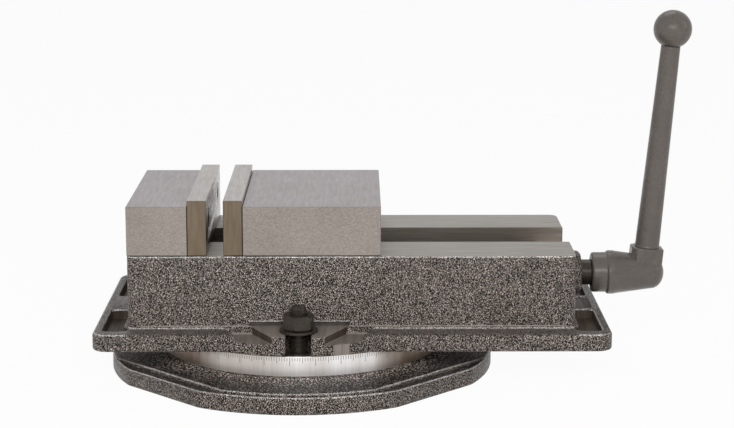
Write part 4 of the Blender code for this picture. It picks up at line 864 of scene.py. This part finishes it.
def flange_face():
    """A rounded rectangle with its long sides divided and pushed out."""
    shape = rectangle(FLANGE_LEFT, FLANGE_RIGHT, -FLANGE_SIDE, FLANGE_SIDE, 0.012)
    sides = [
        edge for edge in shape.edges
        if edge.calc_length() > FLANGE_SIDE * 2 and abs(edge.verts[0].co.y - edge.verts[1].co.y) < 1e-6
    ]
    bmesh.ops.subdivide_edges(shape, edges=sides, cuts=159)
    bmesh.ops.dissolve_faces(shape, faces=shape.faces[:], use_verts=False)
    for vert in shape.verts:
        if abs(abs(vert.co.y) - FLANGE_SIDE) < 1e-6:
            vert.co.y = copysign(side_reach(vert.co.x), vert.co.y)
    return shape


flange_levels = rounding(0.0012, FLANGE_BOTTOM, 3, top=False) + rounding(0.0024, FLANGE_TOP, 5)
bed = draw_up(flange_face(), flange_levels)
say("flange", bed)


# %% End pockets
POCKET_DEPTH, POCKET_WALL, POCKET_CORNER = 0.0075, 0.0068, 0.004
POCKET_IN, POCKET_OUT, RECESS_SIDE = 0.022, 0.0862, 0.0186
RIGHT_WALL = FLANGE_RIGHT - POCKET_WALL


def pocket(left, right, front, back):
    """A hollow with a rounded floor and a rounded rim."""
    floor = FLANGE_TOP - POCKET_DEPTH
    return draw_up(rectangle(left, right, front, back, POCKET_CORNER), [
        (-0.0012, floor), (-0.0004, floor + 0.0003), (0.0, floor + 0.0012),
        (0.0, FLANGE_TOP - 0.0010), (0.0003, FLANGE_TOP - 0.0003),
        (0.0012, FLANGE_TOP + 0.0001), (0.0012, FLANGE_TOP + 0.004),
    ])


pockets = [
    pocket(left, right, front, back)
    for left, right in ((FLANGE_LEFT + POCKET_WALL, BODY_LEFT), (BODY_RIGHT, RIGHT_WALL))
    for front, back in ((-POCKET_OUT, -POCKET_IN), (POCKET_IN, POCKET_OUT))
]
shallow = rectangle(BODY_RIGHT, RIGHT_WALL, -RECESS_SIDE, RECESS_SIDE, POCKET_CORNER)
pockets.append(draw_up(shallow, [
    (0.0, FLANGE_TOP - 0.001), (0.0005, FLANGE_TOP + 0.0001), (0.0005, FLANGE_TOP + 0.002),
]))
bed = cut(bed, pockets)
say("flange with pockets", bed)


# %% Body with a fillet at its foot
DRAFT, FILLET = 0.0026, 0.003


def body_levels():
    """Straight in the pockets, a hollow fillet above the flange, and a small round at the top."""
    turns = [pi / 2 * step / 6 for step in range(7)]
    root = [(FILLET, FLANGE_TOP - 0.0105), (FILLET, FLANGE_TOP - 0.0001)]
    fillet = [(FILLET * (1 - sin(t)), FLANGE_TOP + FILLET * (1 - cos(t))) for t in turns]
    return root + fillet + rounding(0.0013, WAYS, 4)


def with_draft(shape):
    """Lean the long sides out towards their foot, as a casting's sides do."""
    for vert in shape.verts:
        vert.co.y *= 1 + DRAFT / HALF_WIDTH * (WAYS - vert.co.z) / (WAYS - FLANGE_TOP)
    return shape


body = draw_up(rectangle(BODY_LEFT, BODY_RIGHT, -HALF_WIDTH, HALF_WIDTH, 0.007), body_levels())
bed = join(bed, [with_draft(body)])
say("bed with body", bed)


# %% Clamp pads, scoops and boss
SCOOP_DEPTH = 0.004
SCOOP_BACK, PAST_BED = -0.0797, -0.116
BOSS_RADIUS, BOSS_ROUND, BOSS_FACE = 0.0169, 0.004, 0.0115


def both_sides(make, *details):
    """One shape turned half round to the far side, and one left on the near side."""
    return [moved(make(*details), Matrix.Rotation(pi, 4, "Z")), make(*details)]


def scoop(hand):
    """The hollow beside a pad."""
    shape = bmesh.new()
    shape.faces.new([shape.verts.new((hand * x, y, 0.0)) for x, y in (
        (0.0341, SCOOP_BACK), (0.0554, SCOOP_BACK), (0.0475, -FLANGE_SIDE),
        (0.0475, PAST_BED), (0.0159, PAST_BED),
    )])
    floor = FLANGE_TOP - SCOOP_DEPTH
    return draw_up(shape, [
        (-0.001, floor), (0.0, floor + 0.001), (0.0, FLANGE_TOP - 0.0005),
        (0.0005, FLANGE_TOP + 0.0002), (0.0005, FLANGE_TOP + 0.003),
    ])


def pad():
    """The raised pad: a piece of a disc between two slanting planes."""
    slope = Vector((0.0338, -0.0175)).normalized()
    shape = sliced(disc(0.1117, 288), [
        ((0.0, -0.0732), (0.0, 1.0)), ((0.0195, -0.1100), slope),
        ((-0.0195, -0.1100), (-slope.x, slope.y)),
    ])
    return draw_up(welded(shape, 0.0008), [(0.0, 0.037)] + rounding(0.0005, PAD_TOP, 2))


boss_face = BOSS_RADIUS - BOSS_ROUND
boss_edge = BOSS_FACE - BOSS_ROUND
boss = turned([
    (0.0, -0.004), (BOSS_RADIUS, -0.004), (BOSS_RADIUS, boss_edge),
    *((boss_face + BOSS_ROUND * cos(t), boss_edge + BOSS_ROUND * sin(t))
      for t in (0.4, 0.8, 1.2)),
    (boss_face, BOSS_FACE), (0.0, BOSS_FACE),
], 72)
bed = cut(bed, both_sides(scoop, 1) + both_sides(scoop, -1))
bed = join(bed, both_sides(pad) + [moved(boss, along_x(BODY_RIGHT))])
say("bed with pads", bed)


# %% Channel, stud slots and hollows
CHANNEL_LEFT, CHANNEL_RIGHT, CHANNEL_SIDE, CHANNEL_FLOOR = -0.0784, 0.186, 0.0267, 0.052
BELOW_BED = 0.023
CELLS, CELL_STEP, CELL_LENGTH = 4, 0.08088, 0.07138


def stud_slot():
    """The open slot that a clamp stud stands in."""
    shape = rectangle(-0.0095, 0.0095, -0.130, -0.085, 0.0094, 12)
    return draw_up(shape, [
        (0.0, BELOW_BED), (0.0, PAD_TOP - 0.0004), (0.0005, PAD_TOP + 0.0001), (0.0005, 0.056),
    ])


def rail_cell(index, side):
    """One hollow under a way."""
    left = -0.118 + index * CELL_STEP
    cell = box((left, 0.0362, BELOW_BED), (left + CELL_LENGTH, 0.0667, 0.086))
    return cell if side > 0 else moved(cell, Matrix.Scale(-1, 4, (0, 1, 0)))


channel_top = [(0.0, WAYS - 0.0005), (0.0006, WAYS + 0.0001), (0.0006, WAYS + 0.003)]
channel = draw_up(
    rectangle(CHANNEL_LEFT, CHANNEL_RIGHT, -CHANNEL_SIDE, CHANNEL_SIDE, 0.0005, 2),
    [(0.0, CHANNEL_FLOOR)] + channel_top,
)
pin_bore = draw_up(disc(PIN_BORE, 48), [(0.0, BELOW_BED), (0.0, 0.043)])
hollows = [rail_cell(index, side) for index in range(CELLS) for side in SIDES]
bed = cut(bed, both_sides(stud_slot) + [channel, pin_bore] + hollows)
say("bed with channel", bed)


# %% Milled ledges, zero flats, web top and bores
ZERO_FLAT = radians(16.5)
LEDGE_TOP = 0.0512


def ledge():
    """The cutter's mark above a pad, sunk into the body's wall."""
    shape = rectangle(-0.037, 0.037, -0.085, -0.0722, 0.002, 4)
    return draw_up(shape, [(0.0, PAD_TOP + 0.00005), (0.0, LEDGE_TOP)])


def lip():
    """The bead of paint along that mark's top."""
    return box(
        (-0.0373, -0.0793, LEDGE_TOP - 0.0001), (0.0373, -0.0772, LEDGE_TOP + 0.0009), 0.0004
    )


def zero_flat():
    """The small flat that carries the zero line."""
    flat = box((-0.006, PAST_BED, 0.029), (0.006, -0.1114, 0.0417))
    return moved(flat, Matrix.Rotation(ZERO_FLAT, 4, "Z"))


def bolt_hole(side):
    """The hole for a bolt that holds the fixed jaw from below."""
    return draw_up(disc(0.00665, 32, -0.1051, side * 0.05145), [(0.0, 0.0715), (0.0, 0.115)])


web_top = draw_up(rectangle(0.183, 0.215, -0.0268, 0.0268), [(0.0, 0.088)] + channel_top)
screw_bore = turned([
    (0.0, 0.166), (0.0132, 0.166), (0.0132, BODY_RIGHT), (0.0102, BODY_RIGHT),
    (0.0102, 0.2154), (0.0123, 0.2154), (0.0123, 0.229), (0.0, 0.229),
], 72)
keyway = box((-0.1118, -0.0406, 0.0957), (-0.0985, 0.0406, 0.112))
cuts = both_sides(ledge) + both_sides(zero_flat) + [web_top, keyway]
cuts += [moved(screw_bore, along_x()), bolt_hole(1), bolt_hole(-1)]
bed = cut(bed, cuts)
bed = join(bed, both_sides(lip))
say("bed", bed)


# %% Tell the bed's faces apart by their middle m and normal n
def in_channel(m, n):
    """The machined channel, bore and underside."""
    channel = abs(m.y) < 0.0269 and 0.0515 < m.z and -0.0786 < m.x < 0.2058
    bore = hypot(m.y, m.z - SCREW_Z) < 0.0125 and m.x > 0.2058
    return channel or bore or (m.z < FLANGE_BOTTOM + 1e-5 and n.z < -0.9)


def on_zero_flat(m, n):
    """The small flats that carry the zero lines."""
    outward = abs(abs(n.x) - sin(ZERO_FLAT)) < 0.01 and abs(n.z) < 0.01
    return m.z < 0.0418 and reach(m) < 0.1116 and m.x * m.y < 0 and outward and abs(m.y) > 0.1


def on_pad_or_floor(m, n):
    """The pads' tops, the wall above them and the scoops' floors."""
    top = abs(m.x) < 0.0372 and PAD_TOP - 0.0003 < m.z < 0.0511 and abs(m.y) > 0.072
    floor = 0.0098 < abs(m.x) < 0.058 and 0.0415 < m.z < 0.0435 and n.z > 0.6
    return top or (floor and abs(m.y) > 0.0780)


def at_end(m):
    """Past the body, at the flange's two ends."""
    return not BODY_LEFT < m.x < BODY_RIGHT


def on_painted_shade(m, n):
    """The pads' sides, the end pockets and the recess under the boss, which get painted shade."""
    side = 0.0098 < abs(m.x) < 0.0375 and 0.0415 < m.z < PAD_TOP and abs(n.z) < 0.3
    within = FLANGE_LEFT + 0.004 < m.x < FLANGE_RIGHT - 0.004 and abs(m.y) < 0.088
    pocket = at_end(m) and within and 0.0380 < m.z < FLANGE_TOP - 0.0010
    level = FLANGE_TOP - 0.0011 < m.z < FLANGE_TOP - 0.0009 and n.z > 0.9
    recess = m.x > BODY_RIGHT and abs(m.y) < 0.019 and level
    return (side and 0.0790 < abs(m.y) and reach(m) < 0.1108) or pocket or recess


def on_painted_highlight(m, n):
    """The pockets' rims, the fillet, the top edges and the lips of paint, which are painted paler as a
    highlight.
    """
    rim = at_end(m) and FLANGE_TOP - 0.0010 < m.z < FLANGE_TOP and 0.3 < n.z < 0.98
    fillet = FLANGE_TOP < m.z < FLANGE_TOP + 0.003 and 0.7 < n.z < 0.98 and abs(m.y) > 0.0775
    top = m.z > WAYS - 0.0013 and 0.1 < n.z <= 0.7
    bead = abs(m.x) < 0.0374 and 0.0511 <= m.z < 0.0522 and 0.0775 < abs(m.y) < 0.0796
    return (rim and (n.y < -0.3 or n.x < -0.3)) or fillet or top or bead


# %% Finish the bed
BED_FINISHES = [ENAMEL, GROUND, SLIDE, MILLED, EDGE_HIGHLIGHT, MILLED_PAINTED_SHADE]
paint_faces(bed, BED_FINISHES, [
    (GROUND, lambda m, n: m.z > WAYS - 0.0006 and n.z > 0.7),
    (SLIDE, in_channel), (MILLED, on_zero_flat), (MILLED, on_pad_or_floor),
    # Pockets, pads' sides and the boss recess get painted shade; rims, fillet, top edges and bead get
    # a painted highlight.
    (MILLED_PAINTED_SHADE, on_painted_shade), (EDGE_HIGHLIGHT, on_painted_highlight),
])
add_piece("bed_cast", bed, BED_FINISHES, "bed", ("bed_casting",))

# %% [markdown]
# ## Clamp bolts, washers and nuts
# A T-bolt stands in each slot, its head under the lip of the base. The thread is a small ridge spun
# round the stud with a rise at each step. The nut is a hexagon whose corners are turned off, which
# gives the curved edges that every real nut has.


# %% Thread
def thread(radius, depth, pitch, low, high, steps=24, hand=1):
    """A helical ridge, closed at both ends, to lie round a core of the root's radius."""
    shape = bmesh.new()
    root = radius - depth
    sunk = root - 0.0001
    section = [(sunk, -0.45), (root, -0.42), (radius, -0.10)]
    section += [(r, -z) for r, z in reversed(section)]
    points = [shape.verts.new((r, 0.0, low + pitch / 2 + z * pitch)) for r, z in section]
    face = shape.faces.new(points)
    count = int((high - low - pitch) / pitch * steps)
    bmesh.ops.spin(
        shape, geom=[face], cent=(0.0, 0.0, 0.0), axis=UP * hand, dvec=UP * (pitch / steps),
        angle=2 * pi * count / steps, steps=count, use_merge=False, use_duplicate=False,
    )
    return faces_out(shape)


# %% The parts of a clamp
STUD_TOP = 0.0670
CLAMP_BORE = 0.00665
WASHER_LOW, WASHER_HIGH, WASHER_RADIUS = 0.0480, 0.0500, 0.0142
NUT_LOW, NUT_HIGH, NUT_RADIUS, NUT_WIDTH = 0.0503, 0.0613, 0.0124, 0.0206
NUT_TURN = -11.8


def at_clamp(shape, side):
    """Move a shape from the vertical axis to a clamp's place."""
    return moved(shape, Matrix.Translation((0.0, side * STUD_CIRCLE, 0.0)))


def t_bolt(side):
    """The stud with its thread and its T-shaped head."""
    core = turned([
        (0.0, 0.020), (0.0057, 0.020), (0.0057, STUD_TOP - 0.001), (0.0048, STUD_TOP),
        (0.0, STUD_TOP),
    ], 48)
    ridge = thread(0.00635, 0.0007, 0.00195, 0.0295, 0.0663)
    head = box((-0.010, -0.010, 0.0159), (0.010, 0.010, 0.0239), 0.0006)
    return at_clamp(together([core, ridge, head]), side)


def washer(side):
    """A plain washer with bevelled edges."""
    bevel = 0.0004
    return at_clamp(turned([
        (CLAMP_BORE, WASHER_LOW), (WASHER_RADIUS - bevel, WASHER_LOW),
        (WASHER_RADIUS, WASHER_LOW + bevel), (WASHER_RADIUS, WASHER_HIGH - bevel),
        (WASHER_RADIUS - bevel, WASHER_HIGH), (CLAMP_BORE, WASHER_HIGH),
    ], 72, True), side)


def nut(side):
    """A hexagon, its corners turned off above and below, with a countersunk bore."""
    hexagon = disc(NUT_WIDTH / sqrt(3), 6, turn=radians(NUT_TURN))
    blank = turned([
        (0.0, NUT_LOW), (0.0101, NUT_LOW), (NUT_RADIUS, NUT_LOW + 0.0012),
        (NUT_RADIUS, NUT_HIGH - 0.0012), (0.0101, NUT_HIGH), (0.0, NUT_HIGH),
    ], 95)
    bore = turned([
        (0.0, 0.0487), (0.0083, 0.0495), (CLAMP_BORE, 0.0511), (CLAMP_BORE, 0.0605),
        (0.0083, 0.0621), (0.0, 0.0629),
    ], 47)
    shape = combined(draw_up(hexagon, [(0.0, 0.045), (0.0, 0.067)]), "INTERSECT", [blank])
    return at_clamp(cut(shape, [bore]), side)


# %% Make both clamps
for side, word in ((-1, "near"), (1, "far")):
    for name, shape, body, node, smooth in (
        ("clamp_stud", t_bolt(side), "bed", "t_bolt", 32.0),
        ("washer", washer(side), "bed", "clamp_washer", 32.0),
        ("nut", nut(side), f"{word}_nut", "lock_nut", 28.0),
    ):
        add_piece(
            f"{name}_{word}", shape, [OXIDE], body, (f"{node}_{word}",), smooth
        )

# %% [markdown]
# ## Lead screw
# The screw lies in the channel, and from above its square-cut thread shows. Its thread is left-hand,
# because turning the crank clockwise closes the jaws. The core, thrust shoulder, journal and groove
# are one spun section, and the hexagon that the crank sits on is drawn up from six corners.

# %% Make the screw
THREAD_RADIUS, THREAD_DEPTH, THREAD_PITCH = 0.0127, 0.0025, 0.005
ROOT = THREAD_RADIUS - THREAD_DEPTH
SHOULDER, JOURNAL, GROOVE = 0.0165, 0.0099, 0.0087
HEXAGON_WIDTH, HEXAGON_END = 0.0170, 0.2525
core = turned([
    (0.0, -0.0531), (0.0088, -0.0531), (ROOT, -0.0517), (ROOT, 0.1722),
    (SHOULDER - 0.0004, 0.1722), (SHOULDER, 0.1726), (SHOULDER, 0.1768), (SHOULDER - 0.0004, 0.1772),
    (JOURNAL, 0.1772), (JOURNAL, 0.2154), (GROOVE, 0.2154), (GROOVE, 0.2178),
    (JOURNAL, 0.2178), (JOURNAL, 0.2252), (0.0096, 0.2255), (0.0, 0.2255),
], 72)
ridge = thread(THREAD_RADIUS, THREAD_DEPTH, THREAD_PITCH, -0.0515, 0.1715, 36, -1)
hexagon = draw_up(
    disc(HEXAGON_WIDTH / sqrt(3), 6, turn=pi / 6),
    [(0.0, 0.2214), (0.0, HEXAGON_END - 0.001), (-0.001, HEXAGON_END)],
)
screw = moved(together([core, ridge, hexagon]), along_x())
add_piece("screw", screw, [OXIDE], "screw", ("lead_screw",), 30.0)

# %% [markdown]
# ## Crank
# The crank is three pieces: a hub that slides on the hexagon, a tapered rod that leans out by five
# degrees, and a ball. The hub is a spun barrel with a mouth, a ridge and a round nose, and the rod
# stands on an eight-sided boss that grows out of it.

# %% Hub
HUB = 0.2258
HUB_RADIUS, RIDGE_RADIUS, NOSE_RADIUS, NOSE_LENGTH = 0.0156, 0.0170, 0.0128, 0.0100
NOSE_START, HUB_END = HUB + 0.0468, HUB + 0.0568
ROD_LEAN = 5.0
ROD = Matrix.Translation((0.2674, 0.0, SCREW_Z)) @ Matrix.Rotation(radians(ROD_LEAN), 4, "Y")
nose = [
    (NOSE_RADIUS * cos(t), NOSE_START + NOSE_LENGTH * sin(t))
    for t in (0.0, 0.15, 0.35, 0.55, 0.75, 0.95, 1.15, 1.35)
]
barrel = turned([
    (0.0, HUB), (0.0139, HUB), (0.0148, HUB + 0.0003), (0.0153, HUB + 0.0009),
    (HUB_RADIUS - 0.0001, HUB + 0.0016), (HUB_RADIUS, HUB + 0.0112), (0.0164, HUB + 0.0120),
    (RIDGE_RADIUS, HUB + 0.0127), (RIDGE_RADIUS, HUB + 0.0173), (0.0167, HUB + 0.0180),
    *nose, (0.0, HUB_END),
], 96)
boss = draw_up(
    rectangle(-0.0124, 0.0124, -0.0100, 0.0100, 0.0040, 1),
    [(0.0, 0.0)] + rounding(0.0012, 0.0205, 3),
)
hub = join(moved(barrel, along_x()), [moved(boss, ROD)])
socket = draw_up(
    disc((HEXAGON_WIDTH + 0.0006) / sqrt(3), 6, turn=pi / 6),
    [(0.0012, HUB - 0.01), (0.0012, HUB + 0.0006), (0.0, HUB + 0.0018), (0.0, 0.2528)],
)
bore = draw_up(disc(0.0068, 48), [(0.0, 0.0082), (0.0, 0.05)])
hub = cut(hub, [moved(socket, along_x()), moved(bore, ROD)])
add_piece("crank_hub", hub, [CRANK], "handle", ("handle_hub",), 40.0)

# %% Rod and ball
ROD_FOOT, ROD_TIP, STUB = 0.0094, 0.0074, 0.0042
BALL, BALL_RADIUS = 0.1909, 0.01465
rod = turned([
    (0.0, 0.0085), (0.0065, 0.0085), (0.0065, 0.0206), (0.0098, 0.0208), (0.0096, 0.0216),
    (ROD_FOOT, 0.0228), (0.0084, 0.0995), (ROD_TIP, 0.1778), (STUB, 0.1778), (STUB, 0.1888),
    (0.0, 0.1888),
], 72)
add_piece("crank_rod", moved(rod, ROD), [CRANK], "handle", ("handle_rod",), 30.0)
ball_section = [
    (BALL_RADIUS * cos(radians(d)), BALL + BALL_RADIUS * sin(radians(d)))
    for d in range(-60, 90, 6)
]
ball = turned([(0.0, 0.1782), *ball_section, (0.0, BALL + BALL_RADIUS)], 96)
stub_bore = turned([(0.0, 0.170), (0.0045, 0.170), (0.0045, 0.1891), (0.0, 0.1891)], 48)
ball = moved(cut(ball, [stub_bore]), ROD)
add_piece("crank_ball", ball, [CRANK], "handle", ("handle_ball",), 30.0)
print("ball centre height in mm:", round(1000 * (ROD @ Vector((0, 0, BALL))).z, 1))

# %% [markdown]
# ## Jaws and their plates
# The jaws are ground blocks, and the solid model has their shape already. A copy of each is taken,
# and its loose triangles are merged into whole faces, so that each face can have its own finish.
# The tops are ground one way and the sides another, and the tops are given a lilac tint as a painted
# reflection. The plates' ground faces and tops are painted paler than the jaws' sides, as painted
# light along the gap between the plates. The plates show the brown of their hardening at the two
# ends, which weren't ground.


# %% Merge a copy of a block
def merged(node):
    """A copy of a node's mesh with whole flat faces."""
    shape = bmesh.new()
    shape.from_mesh(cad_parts[node].data)
    bmesh.ops.dissolve_limit(
        welded(shape, 1e-6), angle_limit=radians(0.5), use_dissolve_boundaries=False,
        verts=shape.verts[:], edges=shape.edges[:], delimit={"NORMAL"},
    )
    return shape


# %% Dress the jaws
JAW_FINISHES, PLATE_FINISHES = [JAW_SIDE, JAW_TOP_PAINTED_REFLECTION], [PLATE, PLATE_FACE_PAINTED_LIGHT]
for word, body in (("fixed", "bed"), ("movable", "jaw")):
    node = f"{word}_jaw"
    block = paint_faces(merged(node), JAW_FINISHES, [(JAW_TOP_PAINTED_REFLECTION, lambda m, n: n.z > 0.9)])
    add_piece(f"{word}_block", block, JAW_FINISHES, body, (node,), 20.0)
    node = f"{word}_jaw_plate"
    plate = paint_faces(merged(node), PLATE_FINISHES, [(PLATE_FACE_PAINTED_LIGHT, lambda m, n: abs(n.y) < 0.5)])
    add_piece(f"{word}_plate", plate, PLATE_FINISHES, body, (node,), 20.0)

# %% [markdown]
# ## The pieces inside
# The small pieces inside keep the solid model's own shapes, because they are plain turned or ground
# parts that hardly show. They only need their finishes.

# %% Give the remaining pieces their finishes
FINISHES = {
    "fixed_jaw_key": BRIGHT, "swivel_pin": BRIGHT, "half_ball": BRIGHT, "retaining_ring": BRIGHT,
    "bearing_washer": BRIGHT, "bearing_ball": BRIGHT, "screw_bush": BRONZE, "bearing_cage": BRONZE,
    "jaw_nut": SLIDE, "jaw_set_screw": OXIDE, "plate_screw": OXIDE, "fixed_jaw_bolt": OXIDE,
}
for name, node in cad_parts.items():
    for word, finish in FINISHES.items():
        if word in name:
            node.data.materials.clear()
            node.data.materials.append(finish)
